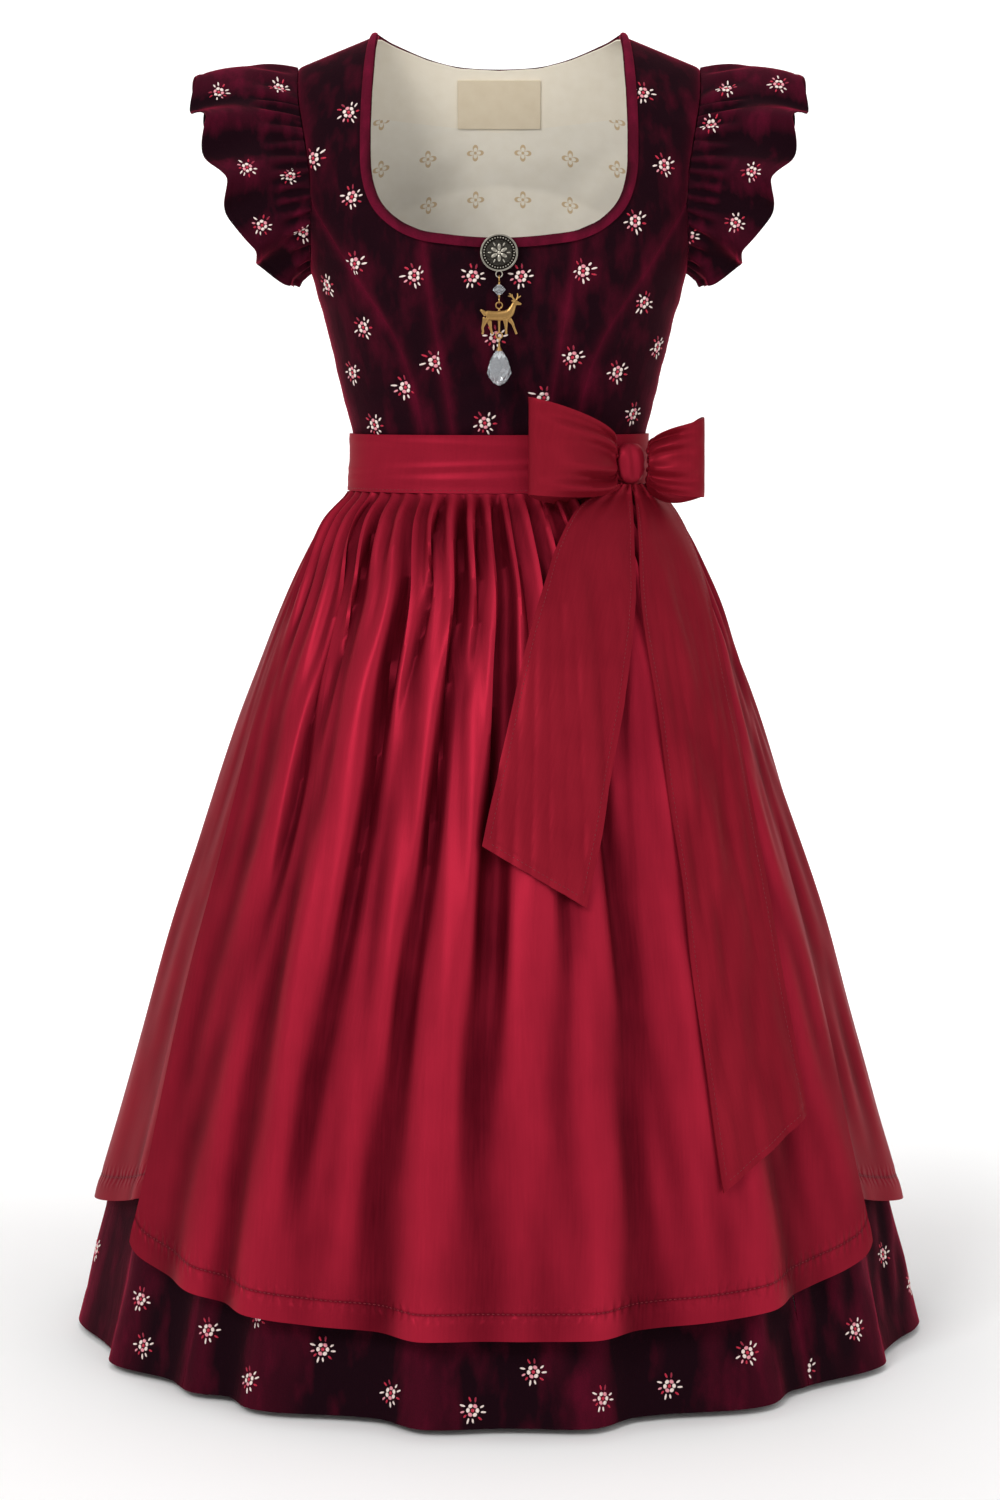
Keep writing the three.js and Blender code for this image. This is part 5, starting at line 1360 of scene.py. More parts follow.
@dataclass
class Bow:
    """Knot, two loops and two tails of the apron's ribbon."""

    finishes: Finishes
    across: float = 17.5
    thick: float = 11.0
    tall: float = 18.5
    seat: float = 0.5
    pleat: float = 4.6
    loops: dict[str, tuple[float, ...]] = field(default_factory=lambda: {
        "left": (106.3, -81.6, 27, -124, -384, -367, 30, 88, 13),
        "right": (137, -66, 189, -52, -384, -379, 28, 74, 14),
    })
    tails: dict[str, list] = field(default_factory=lambda: {"short": SHORT_TAIL, "long": LONG_TAIL})
    pieces: dict[str, Cloth] = field(default_factory=dict)

    def loop_cloth(self, name: str, values: tuple[float, ...]) -> Cloth:
        """One loop, out from the knot along its front and back along its rear."""
        from_x, from_y, to_x, to_y, from_z, to_z, from_tall, to_tall, full = values
        length = math.hypot(to_x - from_x, to_y - from_y)
        way = np.array([to_x - from_x, to_y - from_y, 0]) / length
        front = forward(way)
        u, v = even(84)[None, :], even(34)[:, None]
        turn = 2 * math.pi * u
        reach = (1 - np.cos(turn)) / 2
        rear = np.where(turn > math.pi, np.sin(turn), 0) ** 2
        spread = full * np.sin(turn) * np.where(turn < math.pi, 1.45, 0.95) * reach**0.3
        height = lerp(from_tall, to_tall, reach**0.32)
        fan = ripple(v * 100, reach * 40, 11 if from_x < 120 else 12, (30.0, 70.0))
        fan = fan * 3.2 * (1 - reach**2) * reach**0.3
        rays = np.cos(7 * math.pi * v + 1.2 * np.sin(2 * math.pi * v)) * np.abs(np.cos(turn / 2)) ** 0.8
        pleat = self.pleat * rays * (1 - reach) ** 0.5 * np.minimum(1, reach * 12 + 0.3)
        roll = -1.2 * np.exp(-np.minimum(v, 1 - v) * height / 2.5)
        rise = spread + (2.5 + fan) * np.cos(turn / 2) + pleat + roll
        points = np.array([from_x, from_y, 0]) + way * (length * reach)[..., None] + front * rise[..., None]
        points[..., 2] = lerp(from_z, to_z, reach) + (0.5 - v) * height - 7 * rear
        return Cloth(f"bow_loop_{name}", points, SATIN_WALL, outward=way)

    def tail_cloth(self, name: str, rows: list[tuple[float, ...]]) -> Cloth:
        """One tail, which lies over the apron's crests."""
        u, v = even(40)[None, :], even(150)
        table = spline(rows, v)
        x = lerp(table[:, 0:1], table[:, 2:3], u)
        z = lerp(table[:, 1:2], table[:, 3:4], u)
        azimuth = np.degrees(np.arcsin(np.clip(x / (SKIRT.at("width", z) + 20), -1, 1)))
        azimuth = np.clip(azimuth, -80, 80)
        crest = np.maximum(np.max([apron_lift(azimuth + turn, z) for turn in range(-9, 10, 3)], axis=0), 0)
        pleat = 2 * (1 - np.cos(5 * math.pi * u)) * np.exp((z + 404) / 45)
        lift = crest + 2 + SATIN_WALL + 10 * np.exp((z + 402.9) / 25) + pleat
        width, depth = SKIRT.at("width", z) + lift, SKIRT.at("depth", z) + lift
        y = -depth * np.sqrt(np.maximum(0.02, 1 - (x / width) ** 2))
        cloth = Cloth(f"bow_tail_{name}", np.stack([x, y, z], axis=-1), SATIN_WALL)
        across, up = np.moveaxis(cloth.lay(), -1, 0)
        down = -402.9 - z
        wave = 1.4 * ripple(across, up, len(name), (52.0, 190.0)) * np.clip(down / 90, 0, 1)
        fold = 0.9 * np.cos(5 * math.pi * u) * np.exp(-np.abs(down - 60) / 60)
        seams = 0.5 * bell(cloth.from_side() - 5, 1.6) + 0.4 * bell(up - 8, 2.0)
        return cloth.raise_by(wave + 1.2 + fold - seams)

    def build_knot(self) -> None:
        """Builds the knot as a full, wrapped fold of ribbon with creases that run round it."""
        turns = KNOT_AZIMUTH / 360 + np.array([-1e-3, 0, 1e-3])
        at = Trims(self.finishes).band_points(turns, np.array([0.4906]))[0]
        normal = forward(at[2] - at[0])
        centre = at[1] + normal * (self.thick + self.seat)
        knot = add_primitive(bpy.ops.mesh.primitive_uv_sphere_add, segments=72, ring_count=48, radius=1.0)
        knot.name = knot.data.name = "bow_knot"
        turned = Matrix.Rotation(math.atan2(normal[0], -normal[1]), 3, "Z")
        for vertex in knot.data.vertices:
            x, y, z = vertex.co
            rise = math.asin(max(-1.0, min(1.0, z)))
            heading = math.atan2(y, x)
            ring = max(math.cos(rise), 0) ** 0.8
            lean = 0.35 * math.sin(rise)
            crease = 1 + 0.06 * math.cos(5 * heading + 2 * lean)
            crease += 0.035 * math.cos(9 * heading + 5 * lean + 1)
            waist = 1 - 0.06 * math.cos(rise) ** 6
            local = turned @ Vector((
                self.across * ring * math.cos(heading) * crease * waist,
                self.thick * ring * math.sin(heading) * crease,
                self.tall * float(signed_power(math.sin(rise), 0.85)),
            ))
            vertex.co = (local + Vector((centre[0], centre[1], KNOT_Z))) * MM
        knot.data.materials.append(self.finishes.knot)
        bpy.ops.object.shade_smooth()
        place_piece(knot, "dress", "satin", "bow_knot")

    def build(self) -> None:
        """Builds the whole bow."""
        self.build_knot()
        loops = [(self.loop_cloth(name, values), Held.FOLDED) for name, values in self.loops.items()]
        tails = [(self.tail_cloth(name, rows), Held.HUNG) for name, rows in self.tails.items()]
        for cloth, held in loops + tails:
            cloth.build(self.finishes.ribbon, "satin", held, "bow_knot")
            self.pieces[cloth.name] = cloth


@dataclass
class Studio:
    """Camera at the photograph's angle, pale paper floor and backdrop, and soft lights."""

    paper: bpy.types.Material
    distance: float = 2.8
    aside: float = 0.0008
    height: float = -0.3034
    pitch: float = 1.44
    focal_px: float = 2976.9
    frame_px: float = 1500.0
    shift_px: float = 300.0
    sensor: float = 36.0
    floor: float = -1.19
    ambient: float = 0.62

    def build_camera(self) -> None:
        """Sets the camera up; it is pitched down a little and shifted down to frame the hem."""
        data = bpy.data.cameras.new("camera")
        data.sensor_width = self.sensor
        data.lens = self.sensor * self.focal_px / self.frame_px
        data.shift_y = -self.shift_px / self.frame_px
        camera = new_piece("camera", data)
        camera.location = (self.aside, -self.distance, self.height)
        camera.rotation_euler = (math.radians(90 - self.pitch), 0, 0)
        bpy.context.scene.camera = camera

    def in_frame(self, points: Array) -> tuple[Array, Array]:
        """Places in the 1000 by 1500 frame, and depths, of points in millimetres."""
        away = points * MM - np.array([self.aside, -self.distance, self.height])
        pitch = math.radians(self.pitch)
        depth = away @ np.array([0, math.cos(pitch), -math.sin(pitch)])
        up = away @ np.array([0, math.sin(pitch), math.cos(pitch)])
        across = 500 + self.focal_px * away[..., 0] / depth
        down = 750 - self.shift_px - self.focal_px * up / depth
        return np.stack([across, down], axis=-1), depth

    def build_paper(self) -> None:
        """Lays the floor and its sweep up to the backdrop as one sheet of paper."""
        paper = add_primitive(bpy.ops.mesh.primitive_grid_add, x_subdivisions=2, y_subdivisions=60, size=1.0)
        paper.name = paper.data.name = "studio_paper"
        for vertex in paper.data.vertices:
            x, y, _ = vertex.co
            run = (y + 0.5) * 16 - 6
            lift = max(run - 3.5, 0)
            turn = min(lift / 3, math.pi / 2)
            back = run if lift == 0 else 3.5 + 3 * math.sin(turn)
            vertex.co = (x * 24, back, self.floor + (3 * (1 - math.cos(turn)) + max(lift - 4.7, 0)))
        paper.data.materials.append(self.paper)
        bpy.ops.object.shade_smooth()

    def add_light(self, name: str, place: tuple[float, float, float], size: float, watts: float,
                  aim: tuple[float, float, float] = (0.0, 0.0, -0.6)) -> None:
        """Adds a square soft white light; by default it is aimed at the garment's middle."""
        data = bpy.data.lights.new(name, "AREA")
        data.size, data.energy = size, watts
        light = new_piece(name, data)
        light.location = place
        light.rotation_euler = (Vector(aim) - Vector(place)).to_track_quat("-Z", "Y").to_euler()

    def build(self) -> None:
        """Builds the studio."""
        self.build_camera()
        self.build_paper()
        world = bpy.data.worlds.new("studio")
        world.use_nodes = True
        background = world.node_tree.nodes["Background"].inputs
        background[0].default_value, background[1].default_value = (1.0, 1.0, 1.0, 1.0), self.ambient
        bpy.context.scene.world = world
        bpy.context.scene.view_settings.view_transform = "Standard"
        self.add_light("key_light", (-1.6, -3.0, 1.6), 1.3, 62)
        self.add_light("fill_light", (2.2, -2.6, 0.2), 2.2, 16)
        self.add_light("backdrop_light", (0.0, 1.4, 1.9), 2.4, 170, aim=(0, 6, 0.2))
        self.add_light("top_light", (0.0, 0.4, 2.6), 1.8, 26)


@dataclass(frozen=True)
class Dab:
    """One raised stitch of a sprig: its middle, size and turn in millimetres and degrees, and its thread."""

    x: float
    y: float
    long: float
    wide: float
    turn: float
    thread: str


WHITE_FLOSS, PINK_FLOSS, RED_FLOSS, WINE_FLOSS = "f8e6dd", "ef9aa6", "c4163a", "9a1436"


def sprig_dabs() -> list[Dab]:
    """Stitches of the flower sprig: a red heart, six petals and a few leaves."""
    dabs = [Dab(0, 0, 3.4, 3.4, 0, RED_FLOSS), Dab(0.4, 0.3, 1.5, 1.2, 30, PINK_FLOSS)]
    for k in range(6):
        turn = 60 * k + 15
        at = math.radians(turn)
        floss = PINK_FLOSS if k in (1, 4) else WHITE_FLOSS
        dabs.append(Dab(3.8 * math.cos(at), 3.8 * math.sin(at), 4.2, 3.5, turn + 90, floss))
    leaves = (
        (8, 7.6, WHITE_FLOSS, 4.4), (38, 7.0, WHITE_FLOSS, 3.6), (172, 7.8, WHITE_FLOSS, 4.6),
        (205, 7.2, PINK_FLOSS, 3.4), (262, 7.8, WHITE_FLOSS, 4.8), (288, 7.0, WHITE_FLOSS, 3.6),
        (92, 7.4, WINE_FLOSS, 4.4), (122, 7.6, RED_FLOSS, 4.2), (232, 6.6, RED_FLOSS, 3.2),
        (330, 7.4, RED_FLOSS, 3.8),
    )
    for turn, radius, floss, long in leaves:
        at = math.radians(turn)
        far = 1.15 * radius
        dabs.append(Dab(far * math.cos(at), far * math.sin(at), 1.15 * long, 1.9, turn + 8, floss))
    return dabs


class Stitches:
    """Raised stitches on cloth pieces, gathered into one mesh."""

    def __init__(self, name: str) -> None:
        """Starts with no stitch."""
        self.name = name
        self.points: list[Vector] = []
        self.faces: list[tuple[int, ...]] = []
        self.colours: list[tuple[float, float, float, float]] = []

    def frame_at(self, cloth: Cloth, u: float, v: float) -> tuple[Vector, Vector, Vector, Vector, Vector]:
        """Point, unit across, unit up, and the grid's steps across and along the rows, in millimetres."""
        across = cloth.sample(u + 0.5, v) - cloth.sample(u - 0.5, v)
        along = cloth.sample(u, v + 0.5) - cloth.sample(u, v - 0.5)
        normal = across.cross(along).normalized() * cloth.turn
        right = across.normalized()
        if right.cross(normal).z > 0:
            right = -right
        return cloth.sample(u, v), right, normal.cross(right).normalized(), across, along

    def add(self, cloth: Cloth, u: float, v: float, dabs: list[Dab], turn: float, height: float,
            sides: int = 8, size: float = 1.0) -> None:
        """Works stitches on the cloth round one place of its grid.

        Args:
            cloth: the piece that carries them.
            u: fractional column.
            v: fractional row.
            dabs: the stitches.
            turn: turn of the whole motif in degrees.
            height: how far a stitch stands up in millimetres.
            sides: corners of a stitch.
            size: scale of the motif.
        """
        rows, columns = cloth.points.shape[:2]
        centre, right, up, across, along = self.frame_at(cloth, u, v)
        basis = Matrix(((across.dot(right), along.dot(right)), (across.dot(up), along.dot(up))))
        if abs(basis.determinant()) < 1e-6:
            return
        inverse = basis.inverted()
        normal = right.cross(up).normalized()
        if normal.dot(across.cross(along) * cloth.turn) < 0:
            normal = -normal
        spin = math.radians(turn)
        for dab in dabs:
            lean = math.radians(dab.turn) + spin
            cx = size * (dab.x * math.cos(spin) - dab.y * math.sin(spin))
            cy = size * (dab.x * math.sin(spin) + dab.y * math.cos(spin))
            start, made, inside = len(self.points), [], True
            for share, lift in ((1.0, -0.15), (0.72, 0.75 * height), (0.0, height)):
                for k in range(sides if share else 1):
                    a = 2 * math.pi * k / sides
                    dx = share * size * dab.long / 2 * math.cos(a)
                    dy = share * size * dab.wide / 2 * math.sin(a)
                    x = cx + dx * math.cos(lean) - dy * math.sin(lean)
                    y = cy + dx * math.sin(lean) + dy * math.cos(lean)
                    step = inverse @ Vector((x, y))
                    column, row = u + step[0], v + step[1]
                    if not (0 <= column <= columns - 1 and 0 <= row <= rows - 1):
                        inside = False
                        break
                    made.append(cloth.sample(column, row) + normal * lift)
            spread = max(((point - centre).length for point in made), default=0.0)
            if not inside or spread > 1.25 * size * (math.hypot(dab.x, dab.y) + dab.long):
                continue
            self.points += made
            top = start + 2 * sides
            for k in range(sides):
                n = (k + 1) % sides
                self.faces.append((start + k, start + n, start + sides + n, start + sides + k))
                self.faces.append((start + sides + k, start + sides + n, top))
            self.faces.append(tuple(start + k for k in reversed(range(sides))))
            self.colours += [srgb(dab.thread)] * (2 * sides + 1)

    def build(self, finish: bpy.types.Material, slot: str) -> bpy.types.Object:
        """Makes the mesh of all stitches."""
        mesh = bpy.data.meshes.new(self.name)
        mesh.from_pydata([point * MM for point in self.points], [], self.faces)
        attribute = mesh.color_attributes.new("stitch", "FLOAT_COLOR", "POINT")
        attribute.data.foreach_set("color", np.array(self.colours, dtype=np.float32).ravel())
        mesh.materials.append(finish)
        piece = new_piece(self.name, mesh)
        edit_all(piece)
        bpy.ops.object.shade_smooth()
        place_piece(piece, "dress", slot)
        return piece


@dataclass
class Embroidery:
    """Flower sprigs on the bodice, the ruffles and the skirt's hem."""

    finishes: Finishes
    studio: Studio
    height: float = 0.55
    reach_px: float = 5.0
    pitch_across: float = 136.0
    pitch_up: float = 35.0
    hem_reach: float = 150.0
    bodice_px: tuple[tuple[int, int], ...] = (
        (349, 113), (352, 196), (313, 158), (355, 264), (415, 277), (521, 277), (583, 273), (645, 303),
        (364, 328), (352, 373), (435, 362), (406, 386), (573, 356), (619, 370), (658, 345), (634, 413),
        (484, 424), (374, 425), (545, 396), (644, 93), (665, 165), (635, 221), (327, 285), (474, 277), (497, 338),
    )
    ruffle_px: tuple[tuple[int, int], ...] = (
        (219, 91), (278, 87), (248, 168), (290, 177), (304, 232), (725, 88), (779, 85), (710, 125),
        (751, 171), (687, 235), (262, 225), (735, 222),
    )
    hem_px: tuple[tuple[int, int], ...] = (
        (146, 1343), (205, 1330), (326, 1349), (251, 1379), (394, 1393), (141, 1297), (255, 1317),
        (534, 1370), (474, 1407), (669, 1390), (747, 1354), (854, 1331), (882, 1251), (914, 1283),
        (600, 1402), (96, 1250), (808, 1372),
    )

    def nearest_in_frame(self, cloths: list[Cloth], at: tuple[int, int]) -> tuple[Cloth, int, int] | None:
        """Finds the grid point that the camera sees nearest to a place in its frame.

        Args:
            cloths: the pieces that may carry it.
            at: the place in the 1000 by 1500 frame.

        Returns:
            The piece with its column and row, or None where no piece is near.
        """
        best, found = self.reach_px, None
        for cloth in cloths:
            seen, depth = self.studio.in_frame(cloth.points)
            facing = cloth.outward()[..., 1] < -0.05
            away = np.hypot(seen[..., 0] - at[0], seen[..., 1] - at[1]) + np.where(facing, 0, 1e3)
            row, column = np.unravel_index(np.argmin(away), away.shape)
            if away[row, column] < best:
                best, found = away[row, column], (cloth, int(column), int(row))
        return found

    def spread(self, stitches: Stitches, cloth: Cloth, keep: Callable[[Array, Array], bool],
               seed: int) -> None:
        """Works sprigs in a half-drop layout over the parts of a cloth that keep accepts.

        Args:
            stitches: the mesh that they join.
            cloth: the piece that carries them.
            keep: takes a point in millimetres and its lay, and says whether a sprig belongs there.
            seed: which turns the sprigs take.
        """
        chance = np.random.default_rng(seed)
        lay = cloth.lay()
        low, high = lay.reshape(-1, 2).min(axis=0), lay.reshape(-1, 2).max(axis=0)
        shift = chance.uniform(0, 0.6) * self.pitch_across
        for j in range(int((high[1] - low[1]) / self.pitch_up) + 2):
            for i in range(int((high[0] - low[0]) / self.pitch_across) + 3):
                at = np.array([low[0] + shift + (i - 1 + 0.5 * (j % 2)) * self.pitch_across,
                               low[1] + (j + 0.45) * self.pitch_up])
                away = np.linalg.norm(lay - at, axis=2)
                row, column = np.unravel_index(np.argmin(away), away.shape)
                margin = abs(lay[row, 0, 0]) - abs(lay[row, column, 0])
                if away[row, column] < 6 and margin > 9 and keep(cloth.points[row, column], lay[row, column]):
                    turn = chance.uniform(-30, 30)
                    stitches.add(cloth, float(column), float(row), sprig_dabs(), turn, self.height)

    def build(self, bodice: Bodice, sleeves: Sleeves, skirts: Skirts) -> None:
        """Works all the sprigs."""
        velvet = [cloth for name, cloth in skirts.pieces.items() if name.startswith("velvet")]
        areas = (
            ("embroidery_bodice", list(bodice.pieces.values()), self.bodice_px, 1.08),
            ("embroidery_ruffles", list(sleeves.pieces.values()), self.ruffle_px, 0.95),
            ("embroidery_hem", velvet, self.hem_px, 1.05),
        )
        chance = np.random.default_rng(4)
        for name, cloths, places, size in areas:
            stitches = Stitches(name)
            for at in places:
                found = self.nearest_in_frame(cloths, at)
                if found is not None:
                    cloth, column, row = found
                    turn = chance.uniform(-28, 28)
                    stitches.add(cloth, float(column), float(row), sprig_dabs(), turn, self.height, size=size)
            for seed, cloth in enumerate(cloths):
                if name == "embroidery_hem":
                    self.spread(stitches, cloth, lambda p, lay: p[1] > -20 and lay[1] < self.hem_reach, seed)
                elif "back" in cloth.name or name == "embroidery_ruffles":
                    self.spread(stitches, cloth, lambda p, lay: p[1] > 8 and p[2] > BAND_TOP_Z + 8, seed + 9)
            stitches.build(self.finishes.embroidery, "velvet")


@dataclass
class Sewing:
    """Lines of machine stitching along hems, the waistband and the tails."""

    finishes: Finishes
    pitch: float = 4.2
    long: float = 3.1
    wide: float = 0.75
    height: float = 0.3

    def run(self, stitches: Stitches, cloth: Cloth, line: list[tuple[float, float]]) -> None:
        """Sews along a line of fractional columns and rows.

        Args:
            stitches: the mesh that the stitches join.
            cloth: the piece that is sewn.
            line: columns and rows of the line's points, in order.
        """
        points = [cloth.sample(u, v) for u, v in line]
        lengths = np.concatenate([[0], np.cumsum([(b - a).length for a, b in zip(points, points[1:])])])
        us, vs = np.array(line).T
        for at in np.arange(self.pitch, lengths[-1] - self.pitch, self.pitch):
            u, v = np.interp(at, lengths, us), np.interp(at, lengths, vs)
            _, right, up, _, _ = stitches.frame_at(cloth, u, v)
            ahead = np.interp(at + 1, lengths, us), np.interp(at + 1, lengths, vs)
            way = cloth.sample(*ahead) - cloth.sample(u, v)
            turn = math.degrees(math.atan2(way.dot(up), way.dot(right)))
            stitch = Dab(0, 0, self.long, self.wide, turn, "8a1226")
            stitches.add(cloth, float(u), float(v), [stitch], 0.0, self.height, sides=6)

    def level_line(self, cloth: Cloth, up: float) -> list[tuple[float, float]]:
        """Line at a distance above the lower edge."""
        heights = cloth.lay()[..., 1]
        rows = np.arange(len(heights))
        line = []
        for column in range(2, heights.shape[1] - 2):
            order = np.argsort(heights[:, column])
            line.append((float(column), float(np.interp(up, heights[order, column], rows[order]))))
        return line

    def build(self, skirts: Skirts, trims: Trims, bow: Bow) -> None:
        """Sews every hem and edge."""
        stitches = Stitches("sewing")
        for name in ("apron", "satin_side_right", "satin_back", "satin_side_left"):
            self.run(stitches, skirts.pieces[name], self.level_line(skirts.pieces[name], HEM))
        self.run(stitches, trims.band, self.level_line(trims.band, 2.6))
        for cloth in bow.pieces.values():
            if "tail" in cloth.name:
                rows, columns = cloth.points.shape[:2]
                for column in (2.2, columns - 3.2):
                    self.run(stitches, cloth, [(column, float(row)) for row in range(12, rows - 2)])
                self.run(stitches, cloth, self.level_line(cloth, 6.0))
        stitches.build(self.finishes.sewing, "satin")


class Turned(Enum):
    """How a round part is turned: its face to the viewer, its edge, or upright."""

    FACE = (math.pi / 2, 0.0, 0.0)
    EDGE = (0.0, math.pi / 2, 0.0)
    UPRIGHT = (0.0, 0.0, 0.0)


@dataclass
class Pendant:
    """Coin, bead, stag charm and crystal drop, each hung in the ring above it."""

    finishes: Finishes
    y: float = -116.0
    ring_radius: float = 2.9
    wire: float = 0.55
    coin_z: float = -193.0
    coin_radius: float = 17.0
    coin_thick: float = 2.4
    charm_z: float = -267.0
    flatness: float = 0.42
    # The coin's bosses: count, radius, first turn, lean, size
    bosses: tuple[tuple, ...] = (
        (34, 13.6, 0.0, 0, (0.62, 0.4, 0.62)), (6, 5.0, math.pi / 6, -1, (3.1, 0.55, 1.5)),
        (6, 8.6, math.pi / 3, -1, (1.7, 0.45, 0.7)), (1, 0.0, 0.0, 0, (1.8, 0.9, 1.8)),
    )
    # The stag's limbs: x, y, z and radius of each point, from the hooves' height
    limbs: tuple[tuple[tuple[float, float, float, float], ...], ...] = (
        ((-11.5, 0, 17.5, 4.4), (-4, 0, 17, 4.2), (5, 0, 17.2, 4.8), (9.5, 0, 19.5, 4.2), (12, 0, 24, 2.8),
         (13.2, 0, 27.2, 2.2), (14.8, 0, 29, 2.4), (18, 0, 28, 1.5), (20, 0, 27.6, 0.9)),
        ((-11.5, 0, 18, 2.6), (-14.4, 0, 20.6, 1.7), (-16, 0, 22, 1.2), (-17, 0, 22.4, 0.7)),
        ((-12, -1.6, 15, 3.2), (-13.6, -2, 10, 1.8), (-15.2, -2, 6, 1.1), (-14.2, -2, 2.6, 0.9),
         (-15.2, -2, 0.4, 1.1)),
        ((-9.5, 1.6, 14, 3.0), (-8, 2, 9.4, 1.7), (-7.6, 2, 5, 1.0), (-6, 2, 0.4, 1.1)),
        ((5.6, -1.6, 14, 2.6), (6.2, -2, 8.6, 1.5), (6.2, -2, 4.4, 0.95), (6.4, -2, 0.4, 1.1)),
        ((8.6, 1.6, 14.4, 2.6), (12, 2, 11, 1.5), (13.4, 2, 6.4, 0.95), (15.8, 2, 0.6, 1.1)),
        ((14.4, -0.8, 30.6, 0.85), (12.8, -1.6, 33, 0.75), (10.2, -2.2, 35, 0.6), (9.6, -2.4, 37.4, 0.5)),
        ((12.4, -1.6, 33, 0.6), (11.8, -1.8, 35, 0.5), (11.6, -2, 36.8, 0.45)),
        ((10.6, -2, 34.6, 0.55), (9.4, -2, 34.6, 0.5), (8, -2, 35, 0.4)),
        ((15, 0.8, 30.6, 0.85), (17, 1.6, 33.6, 0.7), (16.6, 2.2, 37.4, 0.5)),
        ((16.8, 1.6, 33.2, 0.6), (18.4, 2, 34, 0.5), (19.6, 2, 35.2, 0.45)),
        ((13.8, -1.4, 30, 1.1), (12.4, -2.4, 30.6, 0.9), (11, -3, 30.8, 0.5)),
        ((0, 0, 14, 1.3), (0, 0, 8, 0.85), (0, 0, 2.2, 0.85)),
        ((0, 0, 19, 1.4), (0, 0, 22, 1.0), (0, 0, 24.2, 0.8)),
    )

    def part(self, operator: Callable, finish: bpy.types.Material, x: float, y: float, z: float,
             turn: tuple[float, float, float], **settings: object) -> bpy.types.Object:
        """Adds a primitive at a place in millimetres, in its finish.

        Args:
            operator: what adds it.
            finish: its material.
            x: its middle's place across.
            y: its middle's place in depth.
            z: its middle's height.
            turn: its turns in radians.
            settings: its sizes, in metres.

        Returns:
            The part.
        """
        made = add_primitive(operator, location=(x * MM, y * MM, z * MM), rotation=turn, **settings)
        made.data.materials.append(finish)
        return made

    def ring(self, z: float, turn: Turned, finish: bpy.types.Material) -> bpy.types.Object:
        """Adds a jump ring at a height."""
        return self.part(bpy.ops.mesh.primitive_torus_add, finish, 0, self.y, z, turn.value, major_segments=32,
                         minor_segments=12, major_radius=self.ring_radius * MM, minor_radius=self.wire * MM)

    def bar(self, y: float, z: float, turn: Turned, radius: float, length: float, corners: int,
            finish: bpy.types.Material) -> bpy.types.Object:
        """Adds a round bar, which is a disc where it is short."""
        return self.part(bpy.ops.mesh.primitive_cylinder_add, finish, 0, y, z, turn.value, vertices=corners,
                         radius=radius * MM, depth=length * MM)

    def post(self, low: float, high: float) -> bpy.types.Object:
        """Adds an upright gilt wire between two heights."""
        return self.bar(self.y, (low + high) / 2, Turned.UPRIGHT, 0.95, high - low, 14, self.finishes.gold)

    def joined(self, name: str, parts: list[bpy.types.Object], body: str, slot: str,
               smooth: bool = True) -> bpy.types.Object:
        """Joins parts into one piece with its place in its mesh, which stands for the solid of its name.

        Args:
            name: the solid's name.
            parts: what it is made of.
            body: the body that it rides on.
            slot: the record's material slot.
            smooth: whether shallow edges are shaded smooth.

        Returns:
            The finished piece.
        """
        select_only(*parts)
        bpy.ops.object.transform_apply(location=True, rotation=True, scale=True)
        bpy.ops.object.join()
        piece = bpy.context.object
        piece.name = piece.data.name = name + "_detail"
        bpy.context.scene.cursor.location = (0, 0, 0)
        bpy.ops.object.origin_set(type="ORIGIN_CURSOR")
        if smooth:
            bpy.ops.object.shade_smooth_by_angle(angle=math.radians(38))
        place_piece(piece, body, slot, name)
        return piece

    def coin(self) -> None:
        """Builds the coin: a raised rim, a ring of beads and a six-petal rosette on its face."""
        silver = self.finishes.silver
        disc = self.bar(self.y, self.coin_z, Turned.FACE, self.coin_radius, self.coin_thick, 72, silver)
        bpy.ops.object.mode_set(mode="EDIT")
        bpy.ops.mesh.select_all(action="DESELECT")
        face_edit = bmesh.from_edit_mesh(disc.data)
        for face in face_edit.faces:
            face.select = face.normal.z > 0.9
        bmesh.update_edit_mesh(disc.data)
        bpy.ops.mesh.inset(thickness=1.5 * MM)
        bpy.ops.mesh.extrude_region_move()
        bpy.ops.transform.resize(value=(0.975, 0.975, 1.0))
        bpy.ops.transform.translate(value=(0, 0.6 * MM, 0))
        bpy.ops.mesh.inset(thickness=4.2 * MM)
        bpy.ops.object.mode_set(mode="OBJECT")
        apply_modifier(disc, "BEVEL", width=0.3 * MM, segments=3)
        parts = [disc, self.ring(-212.4, Turned.FACE, silver)]
        sunk = self.y - self.coin_thick / 2 + 0.6
        for count, radius, start, lean, size in self.bosses:
            for k in range(count):
                a = 2 * math.pi * k / count + start
                parts.append(self.part(
                    bpy.ops.mesh.primitive_uv_sphere_add, silver, radius * math.cos(a), sunk,
                    self.coin_z + radius * math.sin(a), (0, lean * a, 0), segments=14, ring_count=8, radius=MM,
                ))
                parts[-1].scale = size
        pin_front, pin_back = self.y + 0.6, -106.0
        parts.append(self.bar((pin_front + pin_back) / 2, self.coin_z, Turned.FACE, 4.0, pin_back - pin_front, 20,
                              silver))
        self.joined("pendant_coin", parts, "dress", "silver")

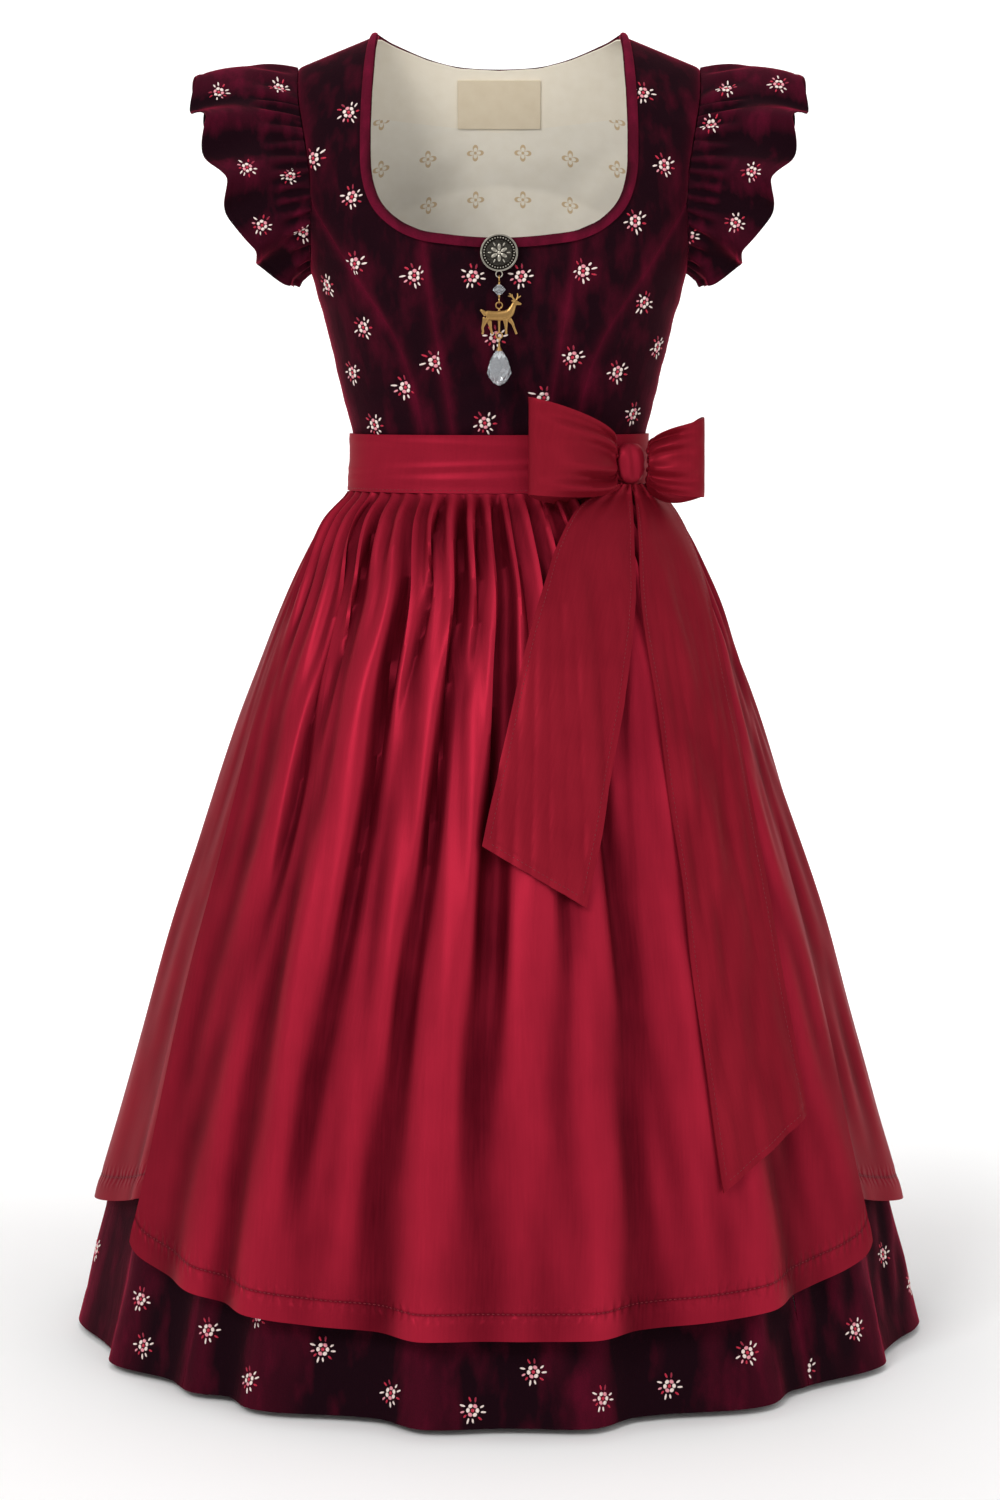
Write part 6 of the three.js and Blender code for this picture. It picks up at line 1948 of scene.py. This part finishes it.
    def cut_stone(self, rings: tuple[tuple[float, float, int, float], ...]) -> bpy.types.Object:
        """Cuts a stone: the hull of rings of corners.

        Args:
            rings: height, radius, corner count and turn in corner steps of each ring.

        Returns:
            The faceted stone.
        """
        corners = []
        for z, radius, count, shift in rings:
            for k in range(count):
                a = 2 * math.pi * (k + shift) / count
                corners.append((radius * math.cos(a) * MM, (self.y + radius * math.sin(a)) * MM, z * MM))
        mesh = bpy.data.meshes.new("stone")
        mesh.from_pydata(corners, [], [])
        stone = new_piece("stone", mesh)
        edit_all(stone, bpy.ops.mesh.convex_hull)
        mesh.materials.append(self.finishes.crystal)
        return stone

    def bead(self) -> None:
        """Builds the crystal bicone on its two eyes."""
        gold = self.finishes.gold
        stone = self.cut_stone(((-221.6, 1.5, 8, 0.0), (-225.2, 5.3, 8, 0.5), (-226.5, 6.0, 8, 0.0),
                                (-227.8, 5.3, 8, 0.5), (-231.4, 1.5, 8, 0.0)))
        eyes = [self.ring(z, Turned.EDGE, gold) for z in (-216.6, -236.3)]
        posts = [self.post(-222.4, -219.2), self.post(-233.6, -230.8)]
        self.joined("pendant_bead", [stone] + eyes + posts, "bead", "crystal", False)

    def stag(self) -> None:
        """Builds the stag from limbs that swell and taper, melted into one casting and flattened."""
        limbs = []
        for chain in self.limbs:
            curve = bpy.data.curves.new("limb", "CURVE")
            curve.dimensions, curve.bevel_depth, curve.bevel_resolution = "3D", MM, 5
            curve.resolution_u, curve.use_fill_caps = 10, True
            line = curve.splines.new("NURBS")
            line.points.add(len(chain) - 1)
            for point, (x, y, z, radius) in zip(line.points, chain):
                point.co = (x * MM, (self.y + y) * MM, (self.charm_z + z) * MM, 1.0)
                point.radius = radius
            line.order_u, line.use_endpoint_u = 3, True
            limbs.append(new_piece("limb", curve))
        select_only(*limbs)
        bpy.ops.object.convert(target="MESH")
        bpy.ops.object.join()
        body = bpy.context.object
        apply_modifier(body, "REMESH", mode="VOXEL", voxel_size=0.4 * MM)
        apply_modifier(body, "SMOOTH", factor=0.5, iterations=3)
        for vertex in body.data.vertices:
            vertex.co.y = self.y * MM + (vertex.co.y - self.y * MM) * self.flatness
        body.data.materials.append(self.finishes.gold)
        bpy.ops.object.shade_smooth()
        rings = [self.ring(z, Turned.FACE, self.finishes.gold) for z in (-240.5, -267.6)]
        self.joined("pendant_stag", [body] + rings, "charm", "gold")

    def drop(self) -> None:
        """Builds the faceted drop under its gilt cap."""
        gold = self.finishes.gold
        stone = self.cut_stone((
            (-278.0, 1.2, 6, 0.0), (-282.5, 3.6, 8, 0.5), (-288.5, 7.4, 8, 0.0), (-296.0, 10.6, 8, 0.5),
            (-301.5, 11.0, 8, 0.0), (-306.5, 9.0, 8, 0.5), (-310.6, 5.2, 8, 0.0), (-312.6, 1.4, 6, 0.5),
        ))
        cap = self.part(bpy.ops.mesh.primitive_cone_add, gold, 0, self.y, -279.2, Turned.UPRIGHT.value, vertices=20,
                        radius1=3.3 * MM, radius2=0.9 * MM, depth=4.6 * MM)
        parts = [stone, cap, self.ring(-271.8, Turned.EDGE, gold), self.post(-277.8, -274.3)]
        self.joined("pendant_drop", parts, "drop", "crystal", False)

    def build(self) -> None:
        """Builds all four."""
        for step in (self.coin, self.bead, self.stag, self.drop):
            step()


def main() -> None:
    """Builds the garment piece by piece."""
    logging.basicConfig(level=logging.INFO, format="%(message)s")
    finishes = Finishes()
    studio = Studio(MattPaper().make())
    studio.build()
    garment = [kind(finishes) for kind in (Bodice, Linings, Trims, Sleeves, Skirts, Bow)]
    for assembly in garment:
        assembly.build()
    bodice, _, trims, sleeves, skirts, bow = garment
    Embroidery(finishes, studio).build(bodice, sleeves, skirts)
    Sewing(finishes).build(skirts, trims, bow)
    Pendant(finishes).build()


if __name__ == "__main__":
    main()
